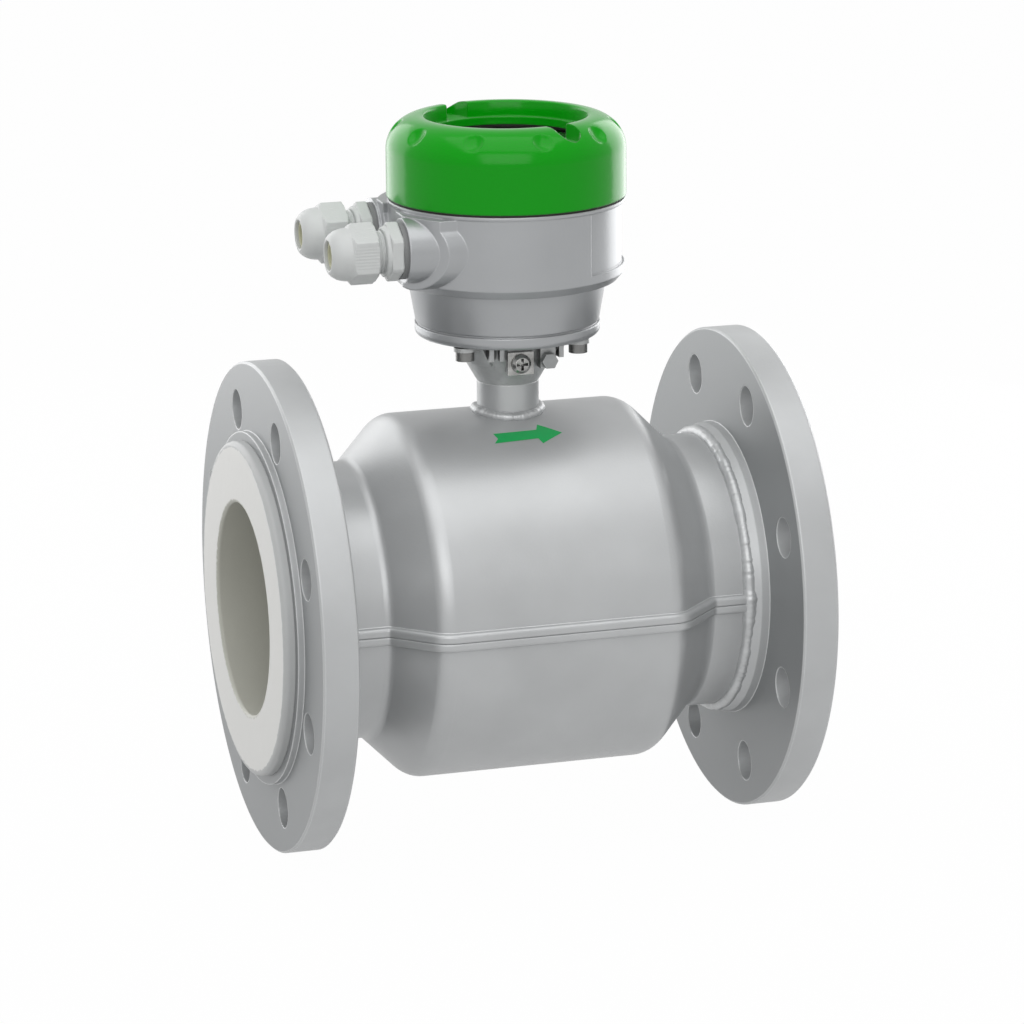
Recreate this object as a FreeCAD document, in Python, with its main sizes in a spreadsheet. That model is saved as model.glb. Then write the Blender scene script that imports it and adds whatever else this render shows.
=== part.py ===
"""Electromagnetic flow meter, DN 100, with a round converter head on a neck.

Millimetres.  +X is the flow direction, +Z points up to the converter, and the origin is on the
pipe axis half way between the two sealing faces.
"""
import FreeCAD
import Part
import math
import os
import re
import Sketcher

V = FreeCAD.Vector
AXES = {"X": V(1, 0, 0), "Y": V(0, 1, 0), "Z": V(0, 0, 1)}

SIZES = {
    # pipe run
    "lay_length": 250.0, "bore_r": 47.6, "flare_r": 75.0, "flare_t": 5.0, "flare_round": 2.4,
    "mouth_round": 1.5, "tube_r": 57.15, "tube_wall": 3.05,
    # flanges, PN 16
    "flange_r": 110.0, "flange_t": 16.3, "raised_r": 79.0, "raised_rise": 3.0, "rim_chamfer": 0.9,
    "bolt_edge": 20.0, "bolt_hole_r": 9.0, "bolt_count": 8.0,
    "weld_width": 9.5, "weld_rise": 4.6,
    # shells
    "shell_r": 82.1, "shell_half": 54.2, "collar_r": 62.3, "shell_wall": 2.0,
    "shoulder_round": 11.0, "collar_round": 5.5, "lip_t": 4.0, "lip_out": 3.0,
    "lip_edge": 1.7, "seam_edge": 0.8,
    # coils and electrodes
    "coil_half_length": 22.0, "yoke_gap": 2.1, "yoke_t": 2.0, "shoe_t": 2.2, "shoe_angle": 80.0,
    "shoe_length": 60.0, "core_r": 9.0, "coil_r": 21.0, "coil_clear": 6.15,
    "electrode_r": 2.5, "electrode_head_r": 6.0, "electrode_head_t": 2.5, "tail_gap": 1.75,
    "boss_r": 11.0, "boss_rise": 4.0, "bush_wall": 2.5, "bush_flange_r": 8.5, "bush_flange_t": 3.0,
    "yoke_window": 3.0, "spring_r": 6.5, "spring_t": 1.6, "electrode_nut_r": 4.6, "electrode_nut_t": 3.2,
    # neck
    "head_x": -0.5, "neck_r": 13.9, "neck_wall": 2.6, "neck_height": 13.9, "neck_weld": 2.4,
    # neck adapter and its fasteners
    "adapter_height": 21.0, "adapter_flare_r": 21.5, "adapter_flare_height": 13.2,
    "adapter_bore_r": 10.5, "lug_x": 26.2, "lug_y": 21.5, "lug_r": 5.0, "lug_t": 1.9,
    "arm_depth": 11.0,
    "gasket_t": 0.6, "gasket_r": 18.0, "screw_head_r": 4.2, "screw_head_t": 4.2, "screw_r": 2.5,
    "socket_r": 2.2, "rib_t": 2.2, "rib_reach": 21.5, "rib_drop": 8.0, "rib_x": 9.0,
    "clamp_x": -1.6, "clamp_width": 12.0, "clamp_height": 10.4, "clamp_t": 1.8, "clamp_drop": 9.6,
    "clamp_reach": 22.0, "clamp_screw_r": 4.3, "clamp_screw_t": 2.4, "clamp_thread_r": 2.0,
    "thread_depth": 8.4, "lock_x": 11.6, "lock_drop": 9.2, "lock_r": 3.7, "lock_t": 3.6,
    # converter housing
    "base_r": 41.4, "base_t": 5.4, "base_round": 2.6, "groove_t": 0.9, "groove_depth": 1.1,
    "waist_height": 24.1, "waist_r": 44.2, "step_height": 4.5, "barrel_r": 52.4,
    "pot_height": 61.6, "barrel_wall": 4.0, "floor_t": 4.0, "cup_inset": 6.6, "ledge_height": 29.4,
    "spigot_inset": 3.6, "spigot_wall": 3.3, "spigot_rise": 10.5,
    "entry_y": 25.0, "entry_drop": 16.5, "entry_r": 14.3, "entry_out": 3.6, "entry_hole_r": 10.0,
    "fairing_r": 17.6, "fairing_out": 5.4, "fairing_setback": 1.5, "bead_t": 1.8, "bead_out": 0.5,
    "plate_angle": 124.0, "plate_rise": 3.8, "plate_depth": 1.3,
    # cover, window and seal
    "seal_t": 1.0, "seal_gap": 0.3, "cover_out": 0.9, "cover_height": 35.6,
    "cover_round": 15.0, "recess_rim": 17.1, "recess_depth": 7.0,
    "window_lip": 2.6, "lip_rise": 3.4, "glass_over": 3.8, "glass_t": 5.0, "window_seal_t": 1.0,
    "ring_t": 2.4, "thread_gap": 0.3, "thread_rise": 12.0, "crown_inset": 4.5, "glass_gap": 0.2,
    "dimple_count": 10.0, "dimple_turn": -87.8, "dimple_r": 5.0, "dimple_inset": 2.0,
    "dimple_drop": 1.8, "slot_width": 9.0, "slot_reach": 10.3, "slot_depth": 7.0,
    # electronics
    "module_gap": 3.6, "module_height": 19.0, "board_t": 1.6, "board_gap": 0.6, "block_width": 9.0,
    "block_length": 19.0, "block_height": 10.5, "block_x": -21.0, "block_gap": 1.5,
    "spacer_r": 2.6, "spacer_in_x": 17.0, "spacer_in_y": 14.0, "spacer_length": 35.0,
    "carrier_gap": 2.5, "carrier_t": 2.0, "carrier_wall": 1.8, "carrier_height": 8.4,
    "display_board_rise": 4.0,
    "bezel_t": 2.0, "bezel_skirt": 1.4, "screen_length": 52.0, "screen_width": 27.0,
    "screen_y": 7.5, "screen_edge": 2.5, "key_y": -20.5, "key_pitch": 14.4, "key_r": 3.2,
    "key_gap": 0.3, "key_flange_r": 4.4, "key_flange_t": 1.1, "key_stand": 0.8, "key_rise": 0.6,
    "key_travel": 0.8,
    # cable glands
    "washer_t": 2.0, "washer_r": 12.4, "gland_flats": 23.4, "gland_hex_t": 7.5,
    "gland_thread_r": 9.9, "gland_bore_r": 7.0, "gland_front_r": 9.3, "gland_tail": 9.0,
    "gland_front": 11.5, "claw_length": 6.0, "claw_r": 7.9, "insert_gap": 0.3, "insert_bore_r": 5.0,
    "insert_collar_r": 7.6, "insert_collar_t": 1.0, "insert_nose_r": 6.1, "insert_nose": 3.6,
    "insert_depth": 19.0, "nut_gap": 3.5, "nut_length": 20.5, "nut_flats": 24.0, "nut_hex_t": 11.5,
    "nut_dome_r": 8.6, "nut_mouth_r": 6.6, "nut_thread_r": 9.6, "nut_thread_length": 14.5,
    "nut_lip": 2.2,
}

doc = FreeCAD.newDocument("flow_meter")
sheet = doc.addObject("Spreadsheet::Sheet", "sizes")
for row, (alias, number) in enumerate(SIZES.items(), 1):
    sheet.set("A%d" % row, alias)
    sheet.set("B%d" % row, str(number))
    sheet.setAlias("B%d" % row, alias)
doc.recompute()

WORDS = re.compile(r"[a-z][a-z_]*")
nodes = []


def bind(expression):
    """Write an expression's size names as references to the sheet."""
    return WORDS.sub(lambda m: "sizes." + m.group() if m.group() in SIZES else m.group(),
                     str(expression))


def size(expression):
    """Value of an expression of size names."""
    value = sheet.evalExpression(bind(expression))
    return float(getattr(value, "Value", value))


def tie(item, **properties):
    """Bind an object's properties to expressions of size names."""
    for name, expression in properties.items():
        setattr(item, name, size(expression))
        item.setExpression(name, bind(expression))
    return item


def place(item, x="0", y="0", z="0", turn=None):
    """Put an object at a point given in size names, turned by a fixed rotation."""
    item.Placement = FreeCAD.Placement(V(size(x), size(y), size(z)), turn or FreeCAD.Rotation())
    for name, expression in (("x", x), ("y", y), ("z", z)):
        item.setExpression("Placement.Base." + name, bind(expression))
    return item


def node(item, label):
    """Name a finished sub-part; the label also names its file."""
    item.Label = label
    nodes.append(item)
    return item


def new_body(label, x="0", y="0", z="0", turn=None):
    body = place(doc.addObject("PartDesign::Body", label), x, y, z, turn)
    return node(body, label)


def origin_item(body, role):
    return [item for item in body.Origin.OriginFeatures if item.Role == role][0]


def new_sketch(body, plane, name):
    sketch = body.newObject("Sketcher::SketchObject", body.Label + "_" + name)
    sketch.AttachmentSupport = [(origin_item(body, plane + "_Plane"), "")]
    sketch.MapMode = "FlatFace"
    return sketch


def hold(sketch, element, end, across, up):
    """Fix one point of a sketch at a place given in size names."""
    for kind, expression in (("DistanceX", across), ("DistanceY", up)):
        rule = Sketcher.Constraint(kind, -1, 1, element, end, size(expression))
        index = sketch.addConstraint(rule)
        sketch.setExpression("Constraints[%d]" % index, bind(expression))


def add_outline(sketch, corners):
    """Closed outline of straight edges through corners given in size names."""
    spots = [V(size(across), size(up), 0) for across, up in corners]
    count = len(spots)
    first = sketch.GeometryCount
    for i in range(count):
        sketch.addGeometry(Part.LineSegment(spots[i], spots[(i + 1) % count]), False)
    for i in range(count):
        joint = Sketcher.Constraint("Coincident", first + i, 2, first + (i + 1) % count, 1)
        sketch.addConstraint(joint)
    for i, (across, up) in enumerate(corners):
        hold(sketch, first + i, 1, across, up)


def add_circle(sketch, across, up, radius):
    centre = V(size(across), size(up), 0)
    index = sketch.addGeometry(Part.Circle(centre, V(0, 0, 1), size(radius)), False)
    hold(sketch, index, 3, across, up)
    rule = sketch.addConstraint(Sketcher.Constraint("Radius", index, size(radius)))
    sketch.setExpression("Constraints[%d]" % rule, bind(radius))


def turned(body, axis, corners, name="turned", plane="XZ", angle=360, back=False, cut=False):
    """Revolve an outline about the sketch's horizontal (X) or vertical (Z) axis."""
    sketch = new_sketch(body, plane, name + "_outline")
    add_outline(sketch, corners)
    kind = "PartDesign::Groove" if cut else "PartDesign::Revolution"
    feature = body.newObject(kind, body.Label + "_" + name)
    feature.Profile = sketch
    feature.ReferenceAxis = (sketch, ["H_Axis" if axis == "X" else "V_Axis"])
    feature.Angle = angle
    feature.Reversed = back
    sketch.Visibility = False
    return feature


def raised(body, sketch, length, name, back=False, both=False, cut=False, through=False):
    """Pad or pocket a sketch by a length given in size names."""
    kind = "PartDesign::Pocket" if cut else "PartDesign::Pad"
    feature = body.newObject(kind, body.Label + "_" + name)
    feature.Profile = sketch
    if both:
        feature.SideType = "Symmetric"
    if through:
        feature.Type = "ThroughAll"
    else:
        tie(feature, Length=length)
    feature.Reversed = back
    return feature


def circles(body, plane, spots, length, name, **how):
    """Round pads or pockets; spots are (across, up, radius) in size names."""
    sketch = new_sketch(body, plane, name + "_circles")
    for across, up, radius in spots:
        add_circle(sketch, across, up, radius)
    return raised(body, sketch, length, name, **how)


def around(body, feature, axis, count, name):
    """Repeat a feature evenly about one of the body's axes."""
    pattern = body.newObject("PartDesign::PolarPattern", body.Label + "_" + name)
    pattern.Originals = [feature]
    pattern.Axis = (origin_item(body, axis + "_Axis"), [""])
    pattern.Angle = 360
    pattern.Occurrences = round(size(count))
    pattern.setExpression("Occurrences", bind(count))
    body.Tip = pattern
    return pattern


def ease_where(body, wanted, radius, name, kind="Fillet"):
    """Round or chamfer the edges of a body that a test picks."""
    doc.recompute()
    base = body.Tip
    names = ["Edge%d" % n for n, edge in enumerate(base.Shape.Edges, 1) if wanted(edge)]
    feature = body.newObject("PartDesign::" + kind, body.Label + "_" + name)
    feature.Base = (base, names)
    tie(feature, **{"Radius" if kind == "Fillet" else "Size": radius})
    return feature


def ease(body, rings, axis, radius, name, kind="Fillet"):
    """Round or chamfer the circular edges at (along the axis, radius), given in size names."""
    spots = [(size(along), size(ring)) for along, ring in rings]

    def on_ring(edge):
        if not isinstance(edge.Curve, Part.Circle):
            return False
        along = edge.Curve.Center.dot(AXES[axis])
        off_axis = (edge.Curve.Center - AXES[axis] * along).Length
        return off_axis < 1e-4 and any(abs(along - spot) < 1e-4 and abs(edge.Curve.Radius - ring) < 1e-4
                                       for spot, ring in spots)
    return ease_where(body, on_ring, radius, name, kind)


def hexagon(body, plane, flats, offset, length, name, **how):
    """Hexagonal pad across flats, starting at an offset along the plane's normal."""
    sketch = new_sketch(body, plane, name + "_hexagon")
    sketch.setExpression("AttachmentOffset.Base.z", bind(offset))
    corners = []
    for corner in range(6):
        turn = math.radians(60 * corner)
        corners.append(("%.9f*%s/sqrt(3)" % (math.cos(turn), flats),
                        "%.9f*%s/sqrt(3)" % (math.sin(turn), flats)))
    add_outline(sketch, corners)
    return raised(body, sketch, length, name, **how)


def primitive(kind, name, spot=("0", "0", "0"), turn=None, **sizes):
    return place(tie(doc.addObject("Part::" + kind, name), **sizes), *spot, turn=turn)


def cut(name, base, tool):
    item = doc.addObject("Part::Cut", name)
    item.Base, item.Tool = base, tool
    return item


def fuse(name, shapes):
    item = doc.addObject("Part::MultiFuse", name)
    item.Shapes = shapes
    return item


def common(name, shapes):
    item = doc.addObject("Part::MultiCommon", name)
    item.Shapes = shapes
    return item


def group(name, shapes):
    item = doc.addObject("Part::Compound", name)
    item.Links = shapes
    return item


def level_sketch(body, plane, name, offset):
    """Sketch on a plane moved along its normal by an offset in size names."""
    sketch = new_sketch(body, plane, name)
    sketch.setExpression("AttachmentOffset.Base.z", bind(offset))
    return sketch


def corners_of(across, up):
    """The four places (plus or minus across, plus or minus up)."""
    return [("%d*%s" % (i, across), "%d*%s" % (j, up)) for i in (1, -1) for j in (1, -1)]


def rectangle(sketch, middle_x, middle_y, length, width):
    add_outline(sketch, [("%s %s (%s)/2" % (middle_x, a, length), "%s %s (%s)/2" % (middle_y, b, width))
                         for a, b in ("--", "+-", "++", "-+")])


# Levels up the neck and the head, each stacked on the one below.
NECK_TOP = "(shell_r + neck_height)"
FLARE_TOP = "(shell_r + neck_height + adapter_flare_height)"
ADAPTER_TOP = "(shell_r + neck_height + adapter_height)"
LUG_FLOOR = "(shell_r + neck_height + adapter_height - lug_t)"
BASE = "(shell_r + neck_height + adapter_height + gasket_t)"
CLAMP_Z = "(" + BASE + " - clamp_drop)"
LOCK_Z = "(" + BASE + " - lock_drop)"
WAIST = "(" + BASE + " + waist_height)"
LEDGE = "(" + BASE + " + ledge_height)"
RIM_TOP = "(" + BASE + " + pot_height)"
ENTRY_Z = "(" + RIM_TOP + " - entry_drop)"
COVER_LOW = "(" + RIM_TOP + " + seal_t)"
COVER_TOP = "(" + COVER_LOW + " + cover_height)"

# Radii of the head, each set from the barrel.
SPIGOT_R = "(barrel_r - spigot_inset)"
COVER_R = "(barrel_r + cover_out)"
RECESS_R = "(barrel_r + cover_out - recess_rim)"
WINDOW_R = "(barrel_r + cover_out - recess_rim - window_lip)"
GLASS_R = "(barrel_r + cover_out - recess_rim + glass_over)"
ENTRY_FACE = "(barrel_r + entry_out)"
FAIRING_REACH = "(barrel_r + fairing_out)"
CUP_R = "(waist_r - cup_inset)"
MODULE_R = "(waist_r - cup_inset - module_gap)"
CROWN_R = "(barrel_r - spigot_inset + thread_gap - crown_inset)"
CARRIER_R = "(barrel_r - spigot_inset - spigot_wall - carrier_gap)"
SLOT_END_R = "(barrel_r + cover_out - slot_reach)"

TO_FLOW = FreeCAD.Rotation(V(0, 0, 1), V(1, 0, 0))
TO_INLET = FreeCAD.Rotation(V(0, 0, 1), V(-1, 0, 0))
TO_FRONT = FreeCAD.Rotation(V(0, 0, 1), V(0, -1, 0))
TO_REAR = FreeCAD.Rotation(V(0, 0, 1), V(0, 1, 0))

# ---------------------------------------------------------------- pipe run
END = "lay_length/2"
SEAT = "(lay_length/2 - flare_t)"
RIM = "(lay_length/2 - flare_t - raised_rise)"
BACK = "(lay_length/2 - flare_t - raised_rise - flange_t)"
LINER_R = "(tube_r - tube_wall)"
BOSS_FACE = "(tube_r + boss_rise)"
HEAD_SEAT = "(bore_r + electrode_head_t)"


def make_measuring_tube():
    """Stainless tube with two flat-faced bosses that carry the electrodes."""
    body = new_body("measuring_tube")
    turned(body, "X", [("-" + SEAT, "0"), (SEAT, "0"), (SEAT, "tube_r"), ("-" + SEAT, "tube_r")])
    circles(body, "XZ", [("0", "0", "boss_r")], "2*" + BOSS_FACE, "bosses", both=True)
    circles(body, "YZ", [("0", "0", LINER_R)], None, "bore", both=True, cut=True, through=True)
    circles(body, "XZ", [("0", "0", "electrode_r + bush_wall")], None, "electrode_holes",
            both=True, cut=True, through=True)


def make_flange(label, side):
    """Plate flange with a raised face and the weld bead that closes the shells."""
    body = new_body(label)
    bead = "(" + BACK + " - weld_width*%s)"
    corners = [(BACK, "tube_r"), (SEAT, "tube_r"), (SEAT, "raised_r"), (RIM, "raised_r"),
               (RIM, "flange_r"), (BACK, "flange_r"), (BACK, "collar_r + weld_rise"),
               (bead % "0.4", "collar_r + weld_rise*0.94"), (bead % "0.75", "collar_r + weld_rise*0.62"),
               (bead % "1", "collar_r"), (BACK, "collar_r")]
    turned(body, "X", [("%d*%s" % (side, along), up) for along, up in corners])
    hole = ("(flange_r - bolt_edge)*sin(180/bolt_count)", "(flange_r - bolt_edge)*cos(180/bolt_count)",
            "bolt_hole_r")
    holes = circles(body, "YZ", [hole], None, "bolt_hole", both=True, cut=True, through=True)
    around(body, holes, "X", "bolt_count", "bolt_holes")
    rims = [("%d*%s" % (side, along), "flange_r") for along in (RIM, BACK)]
    ease(body, rims, "X", "rim_chamfer", "rims", kind="Chamfer")


def make_liner():
    """Moulded liner, flared over both raised faces, with seats for the electrode heads."""
    body = new_body("liner")
    half = [(END, "bore_r"), (END, "flare_r"), (SEAT, "flare_r"), (SEAT, LINER_R)]
    mirrored = [("-" + along, up) for along, up in reversed(half)]
    turned(body, "X", half + mirrored)
    circles(body, "XZ", [("0", "0", "electrode_head_r")], "2*" + HEAD_SEAT, "head_seats",
            both=True, cut=True)
    circles(body, "XZ", [("0", "0", "electrode_r")], None, "shank_holes", both=True, cut=True,
            through=True)
    ends = (END, "-" + END)
    ease(body, [(end, "flare_r") for end in ends], "X", "flare_round", "flare_edges")
    ease(body, [(end, "bore_r") for end in ends], "X", "mouth_round", "mouth_edges")


def shell_outline(offset):
    """Half outline of the shell's silhouette, pushed out by an offset, inlet end first."""
    shift = "(sqrt(2) - 1)*(%s)" % offset
    half = [("shell_half + %s" % shift, "shell_r + (%s)" % offset),
            ("shell_half + shell_r - collar_r + %s" % shift, "collar_r + (%s)" % offset)]
    return [("-(%s)" % x, r) for x, r in reversed(half)] + half


def ease_bends(body, offset, shoulder, collar, name):
    """Round the shoulder and collar bends of a turned outline that follows the shell."""
    (along, ring), (low_along, low_ring) = shell_outline(offset)[2:]
    ease(body, [(along, ring), ("-(%s)" % along, ring)], "X", shoulder, name + "_shoulders")
    ease(body, [(low_along, low_ring), ("-(%s)" % low_along, low_ring)], "X", collar, name + "_collars")


def make_lip():
    """Rounded lip that runs along the front of the seam, on the upper half."""
    lip = doc.addObject("PartDesign::Body", "seam_lip")
    end = "(" + BACK + " - weld_width)"
    outer = [("-" + end, "collar_r + lip_out")] + shell_outline("lip_out") + [(end, "collar_r + lip_out")]
    inner = [("-" + end, "collar_r - shell_wall/2")] + shell_outline("-shell_wall/2")
    inner.append((end, "collar_r - shell_wall/2"))
    plan = new_sketch(lip, "XY", "plan")
    add_outline(plan, [(along, "-(%s)" % ring) for along, ring in outer + inner[::-1]])
    raised(lip, plan, "lip_t", "pad")
    bends = shell_outline("lip_out")[2:]
    radii = ("shoulder_round + lip_out", "collar_round - lip_out")
    for (along, ring), radius, name in zip(bends, radii, ("shoulders", "collars")):
        spot = (size(along), size(ring))

        def upright(edge):
            box = edge.BoundBox
            return box.ZLength > size("lip_t") / 2 and abs(abs(box.XMin) - spot[0]) < 1e-3 and \
                abs(box.YMin + spot[1]) < 1e-3
        ease_where(lip, upright, radius, name)
    for level, toward, radius, name in (("lip_t", -0.2, "lip_edge", "outer_edge"),
                                        ("0", 0.2, "seam_edge", "seam_edge")):
        def along_seam(edge):
            middle = edge.valueAt((edge.FirstParameter + edge.LastParameter) / 2)
            flat = abs(middle.z - size(level)) < 1e-3 and edge.BoundBox.ZLength < 1e-2
            return flat and lip.Tip.Shape.isInside(middle + V(0, 0.2, toward), 1e-3, False)
        ease_where(lip, along_seam, radius, name)
    return lip


def mirrored(item, name, normal):
    """Copy of a shape mirrored in a plane through the origin."""
    copy = doc.addObject("Part::Mirroring", name)
    copy.Source, copy.Normal = item, normal
    return copy


def make_shell(label, lips, lower):
    """Pressed half shell with a lip along both sides of the seam."""
    body = doc.addObject("PartDesign::Body", label + "_wall")
    outer = [("-" + BACK, "collar_r")] + shell_outline("0") + [(BACK, "collar_r")]
    inner = [("-" + BACK, "collar_r - shell_wall")] + shell_outline("-shell_wall")
    inner.append((BACK, "collar_r - shell_wall"))
    turned(body, "X", outer + inner[::-1], plane="XY", angle=180, back=lower)
    ease_bends(body, "0", "shoulder_round", "collar_round", "outer")
    ease_bends(body, "-shell_wall", "shoulder_round - shell_wall", "collar_round + shell_wall", "inner")
    if not lower:
        circles(body, "XY", [("head_x", "0", "neck_r - neck_wall")], None, "neck_hole", both=True,
                cut=True, through=True)
    node(fuse(label, [body] + lips), label)


make_measuring_tube()
make_flange("inlet_flange", -1)
make_flange("outlet_flange", 1)
make_liner()
front_lip = make_lip()
rear_lip = mirrored(front_lip, "rear_lip", V(0, 1, 0))
make_shell("upper_shell", [front_lip, rear_lip], False)
make_shell("lower_shell", [mirrored(front_lip, "lower_front_lip", V(0, 0, 1)),
                           mirrored(rear_lip, "lower_rear_lip", V(0, 0, 1))], True)

# ---------------------------------------------------------------- coils and yoke
SHOE_R = "(tube_r + shoe_t)"
YOKE_R = "(shell_r - shell_wall - yoke_gap)"
YOKE_IN = "(shell_r - shell_wall - yoke_gap - yoke_t)"
COIL_HEIGHT = "(" + YOKE_IN + " - coil_clear - tube_r - shoe_t)"


def make_magnet(prefix, up):
    """Pole shoe bent round the tube, its core and the coil wound on the core."""
    turn = FreeCAD.Rotation() if up else FreeCAD.Rotation(V(1, 0, 0), 180)
    middle = 180 if up else 0
    start = FreeCAD.Rotation(V(1, 0, 0), middle - size("shoe_angle") / 2)
    start = start.multiply(TO_FLOW)
    sector = primitive("Cylinder", prefix + "_shoe_blank", ("-shoe_length/2", "0", "0"), start,
                       Radius=SHOE_R, Height="shoe_length", Angle="shoe_angle")
    inside = primitive("Cylinder", prefix + "_shoe_bore", ("-shoe_length", "0", "0"), TO_FLOW,
                       Radius="tube_r", Height="2*shoe_length")
    node(cut(prefix + "_pole_shoe", sector, inside), prefix + "_pole_shoe")
    rod = primitive("Cylinder", prefix + "_core_rod", turn=turn, Radius="core_r", Height="shell_r")
    within = primitive("Cylinder", prefix + "_core_top", ("-shoe_length", "0", "0"), TO_FLOW,
                       Radius=YOKE_IN, Height="2*shoe_length")
    below = primitive("Cylinder", prefix + "_core_seat", ("-shoe_length", "0", "0"), TO_FLOW,
                      Radius=SHOE_R, Height="2*shoe_length")
    topped = common(prefix + "_core_blank", [rod, within])
    node(cut(prefix + "_pole_core", topped, below), prefix + "_pole_core")
    base = SHOE_R if up else "-" + SHOE_R
    wound = primitive("Cylinder", prefix + "_coil_blank", ("0", "0", base), turn,
                      Radius="coil_r", Height=COIL_HEIGHT)
    hole = primitive("Cylinder", prefix + "_coil_hole", turn=turn, Radius="core_r", Height="shell_r")
    node(cut(prefix + "_coil", wound, hole), prefix + "_coil")


make_magnet("upper", True)
make_magnet("lower", False)
yoke = new_body("magnet_yoke")
turned(yoke, "X", [("-coil_half_length", YOKE_IN), ("coil_half_length", YOKE_IN),
                   ("coil_half_length", YOKE_R), ("-coil_half_length", YOKE_R)])
circles(yoke, "XZ", [("0", "0", "bush_flange_r + yoke_window")], None, "electrode_windows", both=True,
        cut=True, through=True)

# ---------------------------------------------------------------- electrodes
BUSH_IN = "(tube_r - tube_wall + 0.1)"
BUSH_OUT = "(" + BOSS_FACE + " + bush_flange_t)"
SPRING_OUT = "(" + BUSH_OUT + " + spring_t)"


def make_electrode(place_name, turn):
    """Electrode pushed out from the bore, its insulating bush, disc spring and nut."""
    body = new_body("electrode_" + place_name, turn=turn)
    end = "(" + YOKE_IN + " - tail_gap)"
    turned(body, "Z", [("0", "bore_r"), ("electrode_head_r", "bore_r"),
                       ("electrode_head_r", HEAD_SEAT), ("electrode_r", HEAD_SEAT),
                       ("electrode_r", end), ("0", end)])
    body = new_body("electrode_bush_" + place_name, turn=turn)
    stem = "electrode_r + bush_wall"
    turned(body, "Z", [("electrode_r", BUSH_IN), (stem, BUSH_IN), (stem, BOSS_FACE),
                       ("bush_flange_r", BOSS_FACE), ("bush_flange_r", BUSH_OUT),
                       ("electrode_r", BUSH_OUT)])
    body = new_body("electrode_spring_" + place_name, turn=turn)
    turned(body, "Z", [("electrode_r", BUSH_OUT + " + spring_t/2"), ("spring_r", BUSH_OUT),
                       ("spring_r", BUSH_OUT + " + spring_t/2"), ("electrode_r", SPRING_OUT)])
    body = new_body("electrode_nut_" + place_name, turn=turn)
    hexagon(body, "XY", "electrode_nut_r*sqrt(3)", SPRING_OUT, "electrode_nut_t", "flats")
    circles(body, "XY", [("0", "0", "electrode_r")], None, "thread", both=True, cut=True,
            through=True)


make_electrode("front", TO_FRONT)
make_electrode("rear", TO_REAR)

# ---------------------------------------------------------------- neck and adapter
def make_neck_tube():
    """Tube set on the upper shell, its foot cut to the shell's curve, with its weld bead."""
    body = new_body("neck_tube", x="head_x")
    inner, far = "neck_r - neck_wall", "neck_r*2"
    for step, (width, rise) in enumerate((("neck_weld", "neck_weld*0.35"),
                                          ("neck_weld*0.45", "neck_weld*0.8"))):
        outer, name = "neck_r + " + width, "weld_%d" % (step + 1)
        turned(body, "Z", [(inner, "shell_r/2"), (outer, "shell_r/2"), (outer, NECK_TOP), (inner, NECK_TOP)],
               name=name)
        turned(body, "X", [("-" + far, "shell_r + " + rise), (far, "shell_r + " + rise),
                           (far, "2*shell_r"), ("-" + far, "2*shell_r")], name=name + "_top", cut=True)
    turned(body, "Z", [(inner, "shell_r/2"), ("neck_r", "shell_r/2"), ("neck_r", NECK_TOP),
                       (inner, NECK_TOP)])
    circles(body, "YZ", [("0", "0", "shell_r")], "4*neck_r", "saddle", both=True, cut=True)


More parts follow.
